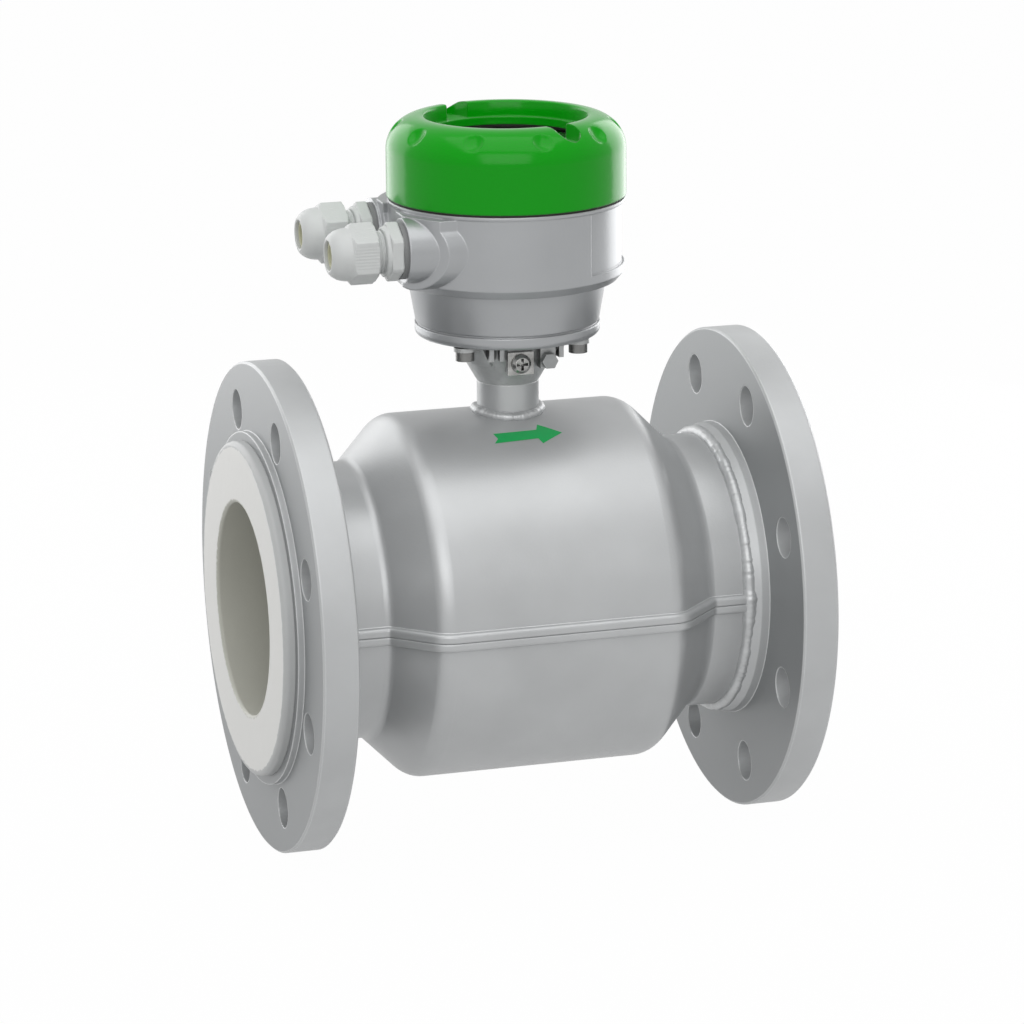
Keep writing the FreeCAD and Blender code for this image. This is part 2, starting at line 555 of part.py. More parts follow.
def make_neck_adapter():
    """Die-cast adapter: a flared sleeve under four lugged arms, with ribs and two front bosses."""
    body = new_body("neck_adapter", x="head_x")
    turned(body, "Z", [("adapter_bore_r", NECK_TOP), ("neck_r", NECK_TOP),
                       ("adapter_flare_r", FLARE_TOP), ("adapter_flare_r", ADAPTER_TOP),
                       ("adapter_bore_r", ADAPTER_TOP)])
    for name, side in (("arm", 1), ("cross_arm", -1)):
        arm = level_sketch(body, "XY", name + "_outline", ADAPTER_TOP)
        tip, root = "lug_r*0.72", "lug_r*0.72"
        add_outline(arm, [("lug_x + " + tip, "%d*(lug_y - %s)" % (side, root)),
                          ("lug_x - " + tip, "%d*(lug_y + %s)" % (side, root)),
                          ("-(lug_x + %s)" % tip, "-%d*(lug_y - %s)" % (side, root)),
                          ("-(lug_x - %s)" % tip, "-%d*(lug_y + %s)" % (side, root))])
        raised(body, arm, "arm_depth", name, back=True)
    root = ADAPTER_TOP + " - arm_depth"
    turned(body, "Z", [("adapter_flare_r", root), ("lug_x + lug_r*0.4", LUG_FLOOR),
                       ("2*lug_x", LUG_FLOOR), ("2*lug_x", root)], name="arm_taper", cut=True)
    lugs = level_sketch(body, "XY", "lug_circles", LUG_FLOOR)
    for across, up in corners_of("lug_x", "lug_y"):
        add_circle(lugs, across, up, "lug_r")
    raised(body, lugs, "lug_t", "lugs")
    ribs = level_sketch(body, "XY", "rib_outline", ADAPTER_TOP)
    for middle in ("-rib_x", "-rib_x - rib_t*2.2", "rib_x*2.05"):
        add_outline(ribs, [("%s - rib_t/2" % middle, "-rib_reach"),
                           ("%s + rib_t/2" % middle, "-rib_reach"),
                           ("%s + rib_t/2" % middle, "0"), ("%s - rib_t/2" % middle, "0")])
    raised(body, ribs, "rib_drop", "ribs", back=True)
    pads = new_sketch(body, "XZ", "pad_outline")
    for middle, level, width, height in (
            ("clamp_x - head_x", CLAMP_Z, "clamp_width*0.46", "clamp_height*0.46"),
            ("lock_x - head_x", LOCK_Z, "lock_r*0.95", "lock_r")):
        add_outline(pads, [("%s - %s" % (middle, width), "%s - %s" % (level, height)),
                           ("%s + %s" % (middle, width), "%s - %s" % (level, height)),
                           ("%s + %s" % (middle, width), ADAPTER_TOP),
                           ("%s - %s" % (middle, width), ADAPTER_TOP)])
    raised(body, pads, "clamp_reach", "pads")
    circles(body, "XY", [("0", "0", "adapter_bore_r")], None, "bore", both=True, cut=True,
            through=True)
    holes = [spot + ("screw_r + key_gap",) for spot in corners_of("lug_x", "lug_y")]
    circles(body, "XY", holes, None, "screw_holes", both=True, cut=True, through=True)
    threads = level_sketch(body, "XZ", "thread_circles", "clamp_reach")
    add_circle(threads, "clamp_x - head_x", CLAMP_Z, "clamp_thread_r")
    add_circle(threads, "lock_x - head_x", LOCK_Z, "clamp_thread_r")
    raised(body, threads, "thread_depth", "thread_holes", cut=True)


make_neck_tube()
make_neck_adapter()

gasket = new_body("neck_gasket", x="head_x")
turned(gasket, "Z", [("adapter_bore_r", ADAPTER_TOP), ("gasket_r", ADAPTER_TOP),
                     ("gasket_r", BASE), ("adapter_bore_r", BASE)])


def make_adapter_screws():
    """Four socket head screws pushed up through the lugs into the housing floor."""
    screws = []
    for across, up in corners_of("lug_x", "lug_y"):
        name = "adapter_screw_%d" % (len(screws) + 1)
        spot = ("head_x + " + across, up)
        head = primitive("Cylinder", name + "_head", spot + (LUG_FLOOR + " - screw_head_t",),
                         Radius="screw_head_r", Height="screw_head_t")
        shank = primitive("Cylinder", name + "_shank", spot + (LUG_FLOOR,), Radius="screw_r",
                          Height="lug_t + gasket_t + floor_t*0.8")
        socket = primitive("Prism", name + "_socket", spot + (LUG_FLOOR + " - screw_head_t",),
                           Circumradius="socket_r*2/sqrt(3)", Height="screw_head_t*0.6")
        screws.append(cut(name, fuse(name + "_blank", [head, shank]), socket))
    node(group("adapter_screws", screws), "adapter_screws")


make_adapter_screws()
CLAMP_FRONT = "(clamp_reach + clamp_t)"

clamp = new_body("ground_clamp", x="clamp_x")
plate = level_sketch(clamp, "XZ", "plate_outline", "clamp_reach")
add_outline(plate, [("-clamp_width/2", CLAMP_Z + " - clamp_height/2"),
                    ("clamp_width/2", CLAMP_Z + " - clamp_height/2"),
                    ("clamp_width/2", CLAMP_Z + " + clamp_height/2"),
                    ("-clamp_width/2", CLAMP_Z + " + clamp_height/2")])
raised(clamp, plate, "clamp_t", "plate")
circles(clamp, "XZ", [("0", CLAMP_Z, "clamp_thread_r")], None, "hole", both=True, cut=True,
        through=True)

screw = new_body("ground_screw", x="clamp_x", z=CLAMP_Z, turn=TO_FRONT)
turned(screw, "Z", [("0", "clamp_reach - thread_depth"), ("clamp_thread_r", "clamp_reach - thread_depth"),
                    ("clamp_thread_r", CLAMP_FRONT), ("clamp_screw_r", CLAMP_FRONT),
                    ("clamp_screw_r", CLAMP_FRONT + " + clamp_screw_t*0.5"),
                    ("clamp_screw_r*0.7", CLAMP_FRONT + " + clamp_screw_t"),
                    ("0", CLAMP_FRONT + " + clamp_screw_t")])
recess = level_sketch(screw, "XY", "recess_outline", CLAMP_FRONT + " + clamp_screw_t")
arm, blade = "clamp_screw_r*0.62", "clamp_screw_r*0.15"
quarter = [(arm, blade), (blade, blade), (blade, arm)]
cross = quarter + [("-" + x, y) for x, y in quarter[::-1]]
cross += [("-" + x, "-" + y) for x, y in cross[:3]] + [(x, "-" + y) for x, y in quarter[::-1]]
add_outline(recess, cross)
raised(screw, recess, "clamp_screw_t*0.8", "recess", cut=True)

lock = new_body("lock_bolt", x="lock_x", z=LOCK_Z, turn=TO_FRONT)
turned(lock, "Z", [("0", "clamp_reach - thread_depth"), ("clamp_thread_r", "clamp_reach - thread_depth"),
                   ("clamp_thread_r", "clamp_reach"), ("0", "clamp_reach")])
hexagon(lock, "XY", "lock_r*sqrt(3)", "clamp_reach", "lock_t", "flats")

# ---------------------------------------------------------------- converter housing
FLOOR = "(" + BASE + " + floor_t)"
BEAD_LOW = "(" + RIM_TOP + " - bead_t)"
FAIRING_FACE = "(" + ENTRY_FACE + " + head_x - fairing_setback)"
WALL_IN = "(barrel_r - barrel_wall)"
SPIGOT_IN = "(" + SPIGOT_R + " - spigot_wall)"


def make_housing():
    """Die-cast pot: base disc, tapered waist, wide barrel, threaded spigot and two entry bosses."""
    body = new_body("converter_housing", x="head_x")
    groove = BASE + " + base_t"
    turned(body, "Z", [("0", BASE), ("base_r", BASE), ("base_r", groove),
                       ("base_r - groove_depth", groove),
                       ("base_r - groove_depth", groove + " + groove_t"),
                       ("base_r - groove_depth/3", groove + " + groove_t"), ("waist_r", WAIST),
                       ("barrel_r - step_height*0.7", WAIST + " + step_height*0.2"),
                       ("barrel_r", WAIST + " + step_height"), ("barrel_r", BEAD_LOW),
                       ("barrel_r + bead_out", BEAD_LOW + " + bead_out"),
                       ("barrel_r + bead_out", RIM_TOP),
                       (SPIGOT_R, RIM_TOP), (SPIGOT_R, RIM_TOP + " + spigot_rise"),
                       ("0", RIM_TOP + " + spigot_rise")])
    ease(body, [(BASE, "base_r")], "Z", "base_round", "base_edge")
    entries = [("%d*entry_y" % side, ENTRY_Z) for side in (1, -1)]
    circles(body, "YZ", [spot + ("fairing_r",) for spot in entries], FAIRING_FACE, "fairings",
            back=True)
    shoulders = new_sketch(body, "YZ", "fairing_shoulders")
    for across, up in entries:
        add_outline(shoulders, [(across + " - fairing_r*0.82", up), (across + " + fairing_r*0.82", up),
                                (across + " + fairing_r*0.82", BEAD_LOW),
                                (across + " - fairing_r*0.82", BEAD_LOW)])
    raised(body, shoulders, FAIRING_FACE, "fairing_tops", back=True)
    far = FAIRING_REACH + "*2"
    turned(body, "Z", [(FAIRING_REACH, WAIST), (far, WAIST), (far, RIM_TOP),
                       (FAIRING_REACH, RIM_TOP)], name="fairing_faces", cut=True)
    turned(body, "Z", [("barrel_r + bead_out", BEAD_LOW), (far, BEAD_LOW), (far, RIM_TOP + " + fairing_r"),
                       (SPIGOT_R, RIM_TOP + " + fairing_r"), (SPIGOT_R, RIM_TOP),
                       ("barrel_r + bead_out", RIM_TOP)], name="rim_trim", cut=True)
    circles(body, "YZ", [spot + ("entry_r",) for spot in entries], ENTRY_FACE + " + head_x", "entries",
            back=True)
    plate_low = WAIST + " + step_height + plate_rise"
    plate = turned(body, "Z", [("barrel_r - plate_depth", plate_low), ("barrel_r*1.05", plate_low),
                               ("barrel_r*1.05", BEAD_LOW), ("barrel_r - plate_depth", BEAD_LOW)],
                   name="plate_recess", cut=True)
    plate.Midplane = True
    tie(plate, Angle="plate_angle")
    turned(body, "Z", [("0", FLOOR), (CUP_R + " - barrel_wall*0.4", FLOOR), (CUP_R, LEDGE),
                       (WALL_IN, LEDGE), (WALL_IN, RIM_TOP + " - barrel_wall*1.25"),
                       (SPIGOT_IN, RIM_TOP + " - barrel_wall*0.5"),
                       (SPIGOT_IN, RIM_TOP + " + spigot_rise + 1"),
                       ("0", RIM_TOP + " + spigot_rise + 1")], name="cavity", cut=True)
    circles(body, "XY", [("0", "0", "adapter_bore_r")], FLOOR + " + 1", "cable_hole",
            cut=True, back=True)
    circles(body, "YZ", [spot + ("entry_hole_r",) for spot in entries], ENTRY_FACE + "*2",
            "entry_holes", cut=True)
    threads = [spot + ("screw_r",) for spot in corners_of("lug_x", "lug_y")]
    circles(body, "XY", threads, BASE + " + floor_t*0.9", "screw_threads", cut=True, back=True)


make_housing()

# ---------------------------------------------------------------- cover with its window
GLASS_BED = "(" + COVER_TOP + " - recess_depth - lip_rise)"
GLASS_TOP = "(" + GLASS_BED + " - window_seal_t)"
RING_TOP = "(" + GLASS_TOP + " - glass_t)"
POCKET_R = "(" + GLASS_R + " + glass_gap)"
THREAD_R = "(" + SPIGOT_R + " + thread_gap)"


def make_cover():
    """Screw-on cover: thick shoulder with grip dimples, two key slots and a sunk window."""
    body = new_body("cover", x="head_x")
    inner_top = "(" + COVER_LOW + " + thread_rise)"
    shelf = COVER_TOP + " - recess_depth"
    turned(body, "Z", [(THREAD_R, COVER_LOW), (COVER_R, COVER_LOW), (COVER_R, COVER_TOP),
                       (RECESS_R, COVER_TOP), (RECESS_R, shelf), (WINDOW_R, shelf),
                       (WINDOW_R, GLASS_BED), (POCKET_R, GLASS_BED),
                       (POCKET_R, RING_TOP + " - ring_t"), (CROWN_R, RING_TOP + " - ring_t"),
                       (CROWN_R, inner_top), (THREAD_R, inner_top)])
    ease(body, [(COVER_TOP, COVER_R)], "Z", "cover_round", "shoulder")
    dimple = body.newObject("PartDesign::SubtractiveSphere", "cover_dimple")
    tie(dimple, Radius="dimple_r")
    dimple.AttachmentSupport = [(origin_item(body, "XY_Plane"), "")]
    dimple.MapMode = "FlatFace"
    dimple.setExpression("AttachmentOffset.Base.x", bind(COVER_R + " - dimple_inset"))
    dimple.setExpression("AttachmentOffset.Base.z", bind(COVER_TOP + " - dimple_drop"))
    around(body, dimple, "Z", "dimple_count", "dimples")
    half, turn = "slot_width/2", "(180/dimple_count)"
    corners = [(SLOT_END_R, half), ("-" + SLOT_END_R, half), ("-" + SLOT_END_R, "-" + half),
               (SLOT_END_R, "-" + half)]
    slot_floor = COVER_TOP + " - slot_depth"
    slot = level_sketch(body, "XY", "slot_outline", slot_floor)
    add_outline(slot, [("(%s)*cos(%s) - (%s)*sin(%s)" % (a, turn, b, turn),
                        "(%s)*sin(%s) + (%s)*cos(%s)" % (a, turn, b, turn)) for a, b in corners])
    raised(body, slot, "slot_depth + 1", "slot", cut=True, back=True)
    ends = level_sketch(body, "XY", "slot_ends", slot_floor)
    for side in (1, -1):
        reach = "%d*%s" % (side, SLOT_END_R)
        add_circle(ends, "%s*cos(%s)" % (reach, turn), "%s*sin(%s)" % (reach, turn), half)
    raised(body, ends, "slot_depth + 1", "slot_rounds", cut=True, back=True)
    body.Placement.Rotation = FreeCAD.Rotation(V(0, 0, 1), size("dimple_turn"))


make_cover()

seal = new_body("cover_seal", x="head_x")
turned(seal, "Z", [(SPIGOT_R + " + seal_gap", RIM_TOP), ("barrel_r - seal_gap", RIM_TOP),
                   ("barrel_r - seal_gap", COVER_LOW), (SPIGOT_R + " + seal_gap", COVER_LOW)])

for label, low, high, inner, outer in (
        ("window_seal", GLASS_TOP, GLASS_BED, WINDOW_R + " + 1", GLASS_R),
        ("window_glass", RING_TOP, GLASS_TOP, "0", GLASS_R),
        ("window_ring", RING_TOP + " - ring_t", RING_TOP, WINDOW_R, POCKET_R)):
    body = new_body(label, x="head_x")
    turned(body, "Z", [(inner, low), (outer, low), (outer, high), (inner, high)])

# ---------------------------------------------------------------- electronics and display
module = new_body("power_module", x="head_x")
turned(module, "Z", [("adapter_bore_r", FLOOR), (MODULE_R, FLOOR),
                     (MODULE_R, FLOOR + " + module_height"),
                     ("adapter_bore_r", FLOOR + " + module_height")])

BOARD_TOP = "(" + LEDGE + " + board_t)"
board = new_body("main_board", x="head_x")
turned(board, "Z", [("adapter_bore_r", LEDGE), (WALL_IN + " - board_gap", LEDGE),
                    (WALL_IN + " - board_gap", BOARD_TOP), ("adapter_bore_r", BOARD_TOP)])

for place_name, side in (("front", -1), ("rear", 1)):
    block = new_body("terminal_block_" + place_name, x="head_x + block_x",
                     y="%d*(block_length + block_gap)/2" % side, z=BOARD_TOP)
    base = new_sketch(block, "XY", "base_outline")
    add_outline(base, [("-block_width/2", "-block_length/2"), ("block_width/2", "-block_length/2"),
                       ("block_width/2", "block_length/2"), ("-block_width/2", "block_length/2")])
    raised(block, base, "block_height", "base")
    ways = [("0", "block_length*%s" % share, "block_width*0.18") for share in ("-0.33", "0", "0.33")]
    circles(block, "XY", ways, "block_height", "screw_wells", back=True, cut=True)

spacers = []
for across, up in corners_of("(%s - spacer_in_x)" % CARRIER_R, "(%s - spacer_in_y)" % CARRIER_R):
    spot = ("head_x + " + across, up, BOARD_TOP)
    spacers.append(primitive("Prism", "spacer_%d" % (len(spacers) + 1), spot,
                             Circumradius="spacer_r*2/sqrt(3)", Height="spacer_length"))
node(group("display_spacers", spacers), "display_spacers")

CARRIER = "(" + BOARD_TOP + " + spacer_length)"
CARRIER_TOP = "(" + CARRIER + " + carrier_height)"
DISPLAY_LOW = "(" + CARRIER + " + display_board_rise)"
DISPLAY_TOP = "(" + DISPLAY_LOW + " + board_t)"
BEZEL_LOW = "(" + CARRIER_TOP + " + bezel_skirt)"
carrier = new_body("display_carrier", x="head_x")
turned(carrier, "Z", [("0", CARRIER), (CARRIER_R, CARRIER), (CARRIER_R, CARRIER_TOP),
                      (CARRIER_R + " - carrier_wall", CARRIER_TOP),
                      (CARRIER_R + " - carrier_wall", DISPLAY_LOW),
                      (CARRIER_R + " - carrier_wall*2.5", DISPLAY_LOW),
                      (CARRIER_R + " - carrier_wall*2.5", CARRIER + " + carrier_t"),
                      ("0", CARRIER + " + carrier_t")])

display_board = new_body("display_board", x="head_x")
turned(display_board, "Z", [("0", DISPLAY_LOW),
                            (CARRIER_R + " - carrier_wall - board_gap", DISPLAY_LOW),
                            (CARRIER_R + " - carrier_wall - board_gap", DISPLAY_TOP),
                            ("0", DISPLAY_TOP)])


screen = new_body("display_screen", x="head_x", z=DISPLAY_TOP)
face = new_sketch(screen, "XY", "outline")
rectangle(face, "0", "screen_y", "screen_length", "screen_width")
raised(screen, face, BEZEL_LOW + " - " + DISPLAY_TOP, "block")

bezel = new_body("display_bezel", x="head_x")
turned(bezel, "Z", [("0", BEZEL_LOW), (CARRIER_R + " - carrier_wall", BEZEL_LOW),
                    (CARRIER_R + " - carrier_wall", CARRIER_TOP), (CARRIER_R, CARRIER_TOP),
                    (CARRIER_R, BEZEL_LOW + " + bezel_t"), ("0", BEZEL_LOW + " + bezel_t")])
opening = new_sketch(bezel, "XY", "window_outline")
rectangle(opening, "0", "screen_y", "screen_length - 2*screen_edge", "screen_width - 2*screen_edge")
raised(bezel, opening, None, "window", both=True, cut=True, through=True)
KEY_PLACES = [("key_%d" % (number + 1), "key_pitch*%s" % (number - 1.5)) for number in range(4)]
circles(bezel, "XY", [(x, "key_y", "key_r + key_gap") for _, x in KEY_PLACES], None, "key_holes",
        both=True, cut=True, through=True)

SWITCH_TOP = "(" + BEZEL_LOW + " - key_flange_t - key_stand - key_travel - key_gap)"
switches = []
for label, x in KEY_PLACES:
    key = new_body(label, x="head_x + " + x, y="key_y")
    low = BEZEL_LOW + " - key_flange_t"
    turned(key, "Z", [("0", low + " - key_stand"), ("key_r*0.6", low + " - key_stand"),
                      ("key_r*0.6", low), ("key_flange_r", low), ("key_flange_r", BEZEL_LOW),
                      ("key_r", BEZEL_LOW), ("key_r", BEZEL_LOW + " + bezel_t + key_travel + key_rise"),
                      ("0", BEZEL_LOW + " + bezel_t + key_travel + key_rise")])
    switches.append(primitive("Cylinder", label + "_switch", ("head_x + " + x, "key_y", DISPLAY_TOP),
                              Radius="key_r*0.8", Height=SWITCH_TOP + " - " + DISPLAY_TOP))
node(group("key_switches", switches), "key_switches")

# ---------------------------------------------------------------- cable glands
HEX_END = "(washer_t + gland_hex_t)"
FRONT_END = "(washer_t + gland_hex_t + gland_front)"
CLAW_END = "(washer_t + gland_hex_t + gland_front + claw_length)"
COLLAR = "(washer_t + gland_hex_t + gland_front + claw_length + insert_gap)"
COLLAR_END = "(washer_t + gland_hex_t + gland_front + claw_length + insert_gap + insert_collar_t)"
NUT_LOW = "(washer_t + gland_hex_t + nut_gap)"
NUT_END = "(washer_t + gland_hex_t + nut_gap + nut_length)"


def make_gland(place_name, side):
    """Plastic M20 cable gland: washer, hexagon body, sealing insert and domed nut."""
    spot = {"x": "-" + ENTRY_FACE, "y": "%d*entry_y" % side, "z": ENTRY_Z, "turn": TO_INLET}
    washer = new_body("gland_washer_" + place_name, **spot)
    turned(washer, "Z", [("gland_thread_r", "0"), ("washer_r", "0"), ("washer_r", "washer_t"),
                         ("gland_thread_r", "washer_t")])
    body = new_body("gland_body_" + place_name, **spot)
    turned(body, "Z", [("0", "-gland_tail"), ("gland_thread_r", "-gland_tail"),
                       ("gland_thread_r", "washer_t"), ("gland_front_r", "washer_t"),
                       ("gland_front_r", FRONT_END), ("claw_r", CLAW_END), ("0", CLAW_END)])
    hexagon(body, "XY", "gland_flats", "washer_t", "gland_hex_t", "flats")
    circles(body, "XY", [("0", "0", "gland_bore_r")], None, "bore", both=True, cut=True, through=True)
    insert = new_body("gland_insert_" + place_name, **spot)
    sleeve_r = "gland_bore_r - insert_gap"
    turned(insert, "Z", [("insert_bore_r", COLLAR + " - insert_depth"),
                         (sleeve_r, COLLAR + " - insert_depth"), (sleeve_r, COLLAR),
                         ("insert_collar_r", COLLAR), ("insert_collar_r", COLLAR_END),
                         ("insert_nose_r", COLLAR_END), ("insert_nose_r", COLLAR_END + " + insert_nose"),
                         ("insert_bore_r", COLLAR_END + " + insert_nose")])
    nut = new_body("gland_nut_" + place_name, **spot)
    hex_end = "(" + NUT_LOW + " + nut_hex_t)"
    hexagon(nut, "XY", "nut_flats", NUT_LOW, "nut_hex_t", "flats")
    turned(nut, "Z", [("0", hex_end), ("nut_flats*0.5", hex_end), ("nut_flats*0.5", hex_end + " + 1.6"),
                      ("nut_flats*0.455", hex_end + " + 5"), ("nut_dome_r", NUT_END), ("0", NUT_END)],
           name="dome")
    turned(nut, "Z", [("0", NUT_LOW + " - 1"), ("nut_thread_r", NUT_LOW + " - 1"),
                      ("nut_thread_r", NUT_LOW + " + nut_thread_length"),
                      ("nut_mouth_r", NUT_END + " - nut_lip"), ("nut_mouth_r", NUT_END + " + 1"),
                      ("0", NUT_END + " + 1")], name="cavity", cut=True)


make_gland("front", -1)
make_gland("rear", 1)

# ---------------------------------------------------------------- check and write
doc.recompute()
for item in doc.Objects:
    if "Invalid" in item.State or "Error" in item.State:
        raise RuntimeError("failed: " + item.Name)
for item in nodes:
    if item.Shape.isNull() or not item.Shape.isValid() or not item.Shape.Solids:
        raise RuntimeError("no valid shape: " + item.Label)
os.makedirs("parts", exist_ok=True)
for item in nodes:
    item.Shape.exportStep(os.path.join("parts", item.Label + ".step"))
    box = item.Shape.BoundBox
    print("%-24s solids %d volume %9.1f mm3  x %.1f..%.1f y %.1f..%.1f z %.1f..%.1f" % (
        item.Label, len(item.Shape.Solids), item.Shape.Volume, box.XMin, box.XMax, box.YMin,
        box.YMax, box.ZMin, box.ZMax))
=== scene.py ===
import bpy
import bmesh
import math
from mathutils import Matrix, Vector, noise


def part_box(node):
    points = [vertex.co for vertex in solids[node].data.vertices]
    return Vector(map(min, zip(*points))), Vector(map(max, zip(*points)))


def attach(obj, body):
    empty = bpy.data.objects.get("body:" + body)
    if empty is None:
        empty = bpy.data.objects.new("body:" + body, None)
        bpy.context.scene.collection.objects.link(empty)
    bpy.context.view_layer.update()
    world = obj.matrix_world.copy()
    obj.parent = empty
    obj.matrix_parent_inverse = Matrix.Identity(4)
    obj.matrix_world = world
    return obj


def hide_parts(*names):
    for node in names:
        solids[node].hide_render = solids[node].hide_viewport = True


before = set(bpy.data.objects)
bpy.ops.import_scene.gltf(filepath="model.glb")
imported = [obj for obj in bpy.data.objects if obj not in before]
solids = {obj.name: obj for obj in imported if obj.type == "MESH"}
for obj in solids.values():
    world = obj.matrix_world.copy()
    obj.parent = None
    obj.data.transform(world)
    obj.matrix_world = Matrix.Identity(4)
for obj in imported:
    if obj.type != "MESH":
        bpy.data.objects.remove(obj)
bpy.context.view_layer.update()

# ---------------------------------------------------------------- studio
# White paper floor in a pale tent, lit by a big softbox overhead, a squarish lamp close behind
# each end of the meter that lines its edges, and a broad fill from the front.
camera = bpy.data.objects.new("camera", bpy.data.cameras.new("camera"))
bpy.context.scene.collection.objects.link(camera)
bpy.context.scene.camera = camera
turn, tilt, roll = math.radians(-17.113), math.radians(14.611), math.radians(-0.442)
distance, aside, raised, lens_length = 2.114846, 0.000749, 0.033022, 164.056
back = Vector((math.sin(turn) * math.cos(tilt), -math.cos(turn) * math.cos(tilt), math.sin(tilt)))
level_right = (-back).cross(Vector((0, 0, 1))).normalized()
level_up = level_right.cross(-back)
right = level_right * math.cos(roll) + level_up * math.sin(roll)
up = level_up * math.cos(roll) - level_right * math.sin(roll)
camera.rotation_mode = "QUATERNION"
camera.rotation_quaternion = Matrix((right, up, back)).transposed().to_quaternion()
camera.location = back * distance + right * aside + up * raised
camera.data.sensor_width = 36
camera.data.lens = lens_length
camera.data.clip_start = 0.05


def seen_share(tree, by_eye, by_gloss):
    """How far a backdrop shows as plain white: to the eye and through glass, and in gloss."""
    path = tree.nodes.new("ShaderNodeLightPath")
    direct = tree.nodes.new("ShaderNodeMath")
    direct.operation = "MAXIMUM"
    tree.links.new(path.outputs["Is Camera Ray"], direct.inputs[0])
    tree.links.new(path.outputs["Is Transmission Ray"], direct.inputs[1])
    shares = []
    for source, share in ((direct.outputs[0], by_eye), (path.outputs["Is Glossy Ray"], by_gloss)):
        scaled = tree.nodes.new("ShaderNodeMath")
        scaled.operation = "MULTIPLY"
        scaled.inputs[1].default_value = share
        tree.links.new(source, scaled.inputs[0])
        shares.append(scaled)
    most = tree.nodes.new("ShaderNodeMath")
    most.operation = "MAXIMUM"
    for slot, scaled in enumerate(shares):
        tree.links.new(scaled.outputs[0], most.inputs[slot])
    return most.outputs[0]


def backdrop(tree, plain, white, sheet, by_eye, by_gloss):
    """Mix a plain shader with a white one by who looks at it."""
    blend = tree.nodes.new("ShaderNodeMixShader")
    tree.links.new(seen_share(tree, by_eye, by_gloss), blend.inputs["Fac"])
    tree.links.new(plain.outputs[0], blend.inputs[1])
    tree.links.new(white.outputs[0], blend.inputs[2])
    tree.links.new(blend.outputs[0], sheet.inputs["Surface"])


floor_half, floor_gap = 6, 0.0005
floor_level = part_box("inlet_flange")[0].z - floor_gap
floor_mesh = bpy.data.meshes.new("paper_floor")
floor_mesh.from_pydata([(-floor_half, -floor_half, floor_level),
                        (floor_half, -floor_half, floor_level),
                        (floor_half, floor_half, floor_level),
                        (-floor_half, floor_half, floor_level)], [], [(0, 1, 2, 3)])
paper_floor = bpy.data.objects.new("paper_floor", floor_mesh)
bpy.context.scene.collection.objects.link(paper_floor)
paper = bpy.data.materials.new("white_paper")
paper.use_nodes = True
tree = paper.node_tree
tree.nodes.clear()
matt = tree.nodes.new("ShaderNodeBsdfDiffuse")
matt.inputs["Color"].default_value = (0.60, 0.60, 0.60, 1)
backdrop(tree, matt, tree.nodes.new("ShaderNodeEmission"),
         tree.nodes.new("ShaderNodeOutputMaterial"), by_eye=0.985, by_gloss=0.85)
floor_mesh.materials.append(paper)

world = bpy.data.worlds.new("studio")
bpy.context.scene.world = world
world.use_nodes = True
tree = world.node_tree
tree.nodes.clear()
walls = tree.nodes.new("ShaderNodeBackground")
walls.inputs["Color"].default_value = (0.50, 0.50, 0.50, 1)
white = tree.nodes.new("ShaderNodeBackground")
white.inputs["Color"].default_value = (1, 1, 1, 1)
backdrop(tree, walls, white, tree.nodes.new("ShaderNodeOutputWorld"), by_eye=1.0, by_gloss=0.4)


def softbox(name, place, target, width, height, power):
    """A rectangular lamp that faces a point."""
    lamp = bpy.data.lights.new(name, "AREA")
    lamp.shape = "RECTANGLE"
    lamp.size, lamp.size_y, lamp.energy = width, height, power
    holder = bpy.data.objects.new(name, lamp)
    holder.location = place
    holder.rotation_mode = "QUATERNION"
    holder.rotation_quaternion = (Vector(target) - Vector(place)).to_track_quat("-Z", "Y")
    holder.visible_camera = False
    bpy.context.scene.collection.objects.link(holder)


softbox("overhead", (-0.1, -0.25, 1.35), (0, 0, 0.05), 1.6, 1.3, 9)
softbox("left_strip", (-0.40, 0.72, 0.26), (0, 0, 0.12), 0.75, 0.72, 2.8)
softbox("right_strip", (0.68, 0.46, 0.26), (0, 0, 0.12), 0.66, 0.72, 3)
softbox("front_fill", (-0.6, -1.9, 1.05), (0, 0, 0.03), 1.8, 1.3, 14)

# ---------------------------------------------------------------- liner
# Ivory fluoroplastic tube, moulded in and turned over both raised faces; its bore is coloured a
# darker grey as painted shade, and the spray that coats the flanges has caught the outer edge of
# each face.


def finish(name, colour, roughness, metallic=0.0, spread=0.04, scale=60.0):
    """A material with a faint uneven tone; returns it with its shader and node tree."""
    material = bpy.data.materials.new(name)
    material.use_nodes = True
    tree = material.node_tree
    shader = tree.nodes["Principled BSDF"]
    shader.inputs["Roughness"].default_value = roughness
    shader.inputs["Metallic"].default_value = metallic
    place = tree.nodes.new("ShaderNodeTexCoord")
    cloud = tree.nodes.new("ShaderNodeTexNoise")
    cloud.inputs["Scale"].default_value = scale
    cloud.inputs["Detail"].default_value = 6
    ramp = tree.nodes.new("ShaderNodeValToRGB")
    dark, light = ramp.color_ramp.elements
    dark.position, light.position = 0.3, 0.7
    dark.color = (*[part * (1 - spread) for part in colour], 1)
    light.color = (*[min(1, part * (1 + spread)) for part in colour], 1)
    tree.links.new(place.outputs["Object"], cloud.inputs["Vector"])
    tree.links.new(cloud.outputs["Fac"], ramp.inputs["Fac"])
    tree.links.new(ramp.outputs["Color"], shader.inputs["Base Color"])
    return material, shader, tree


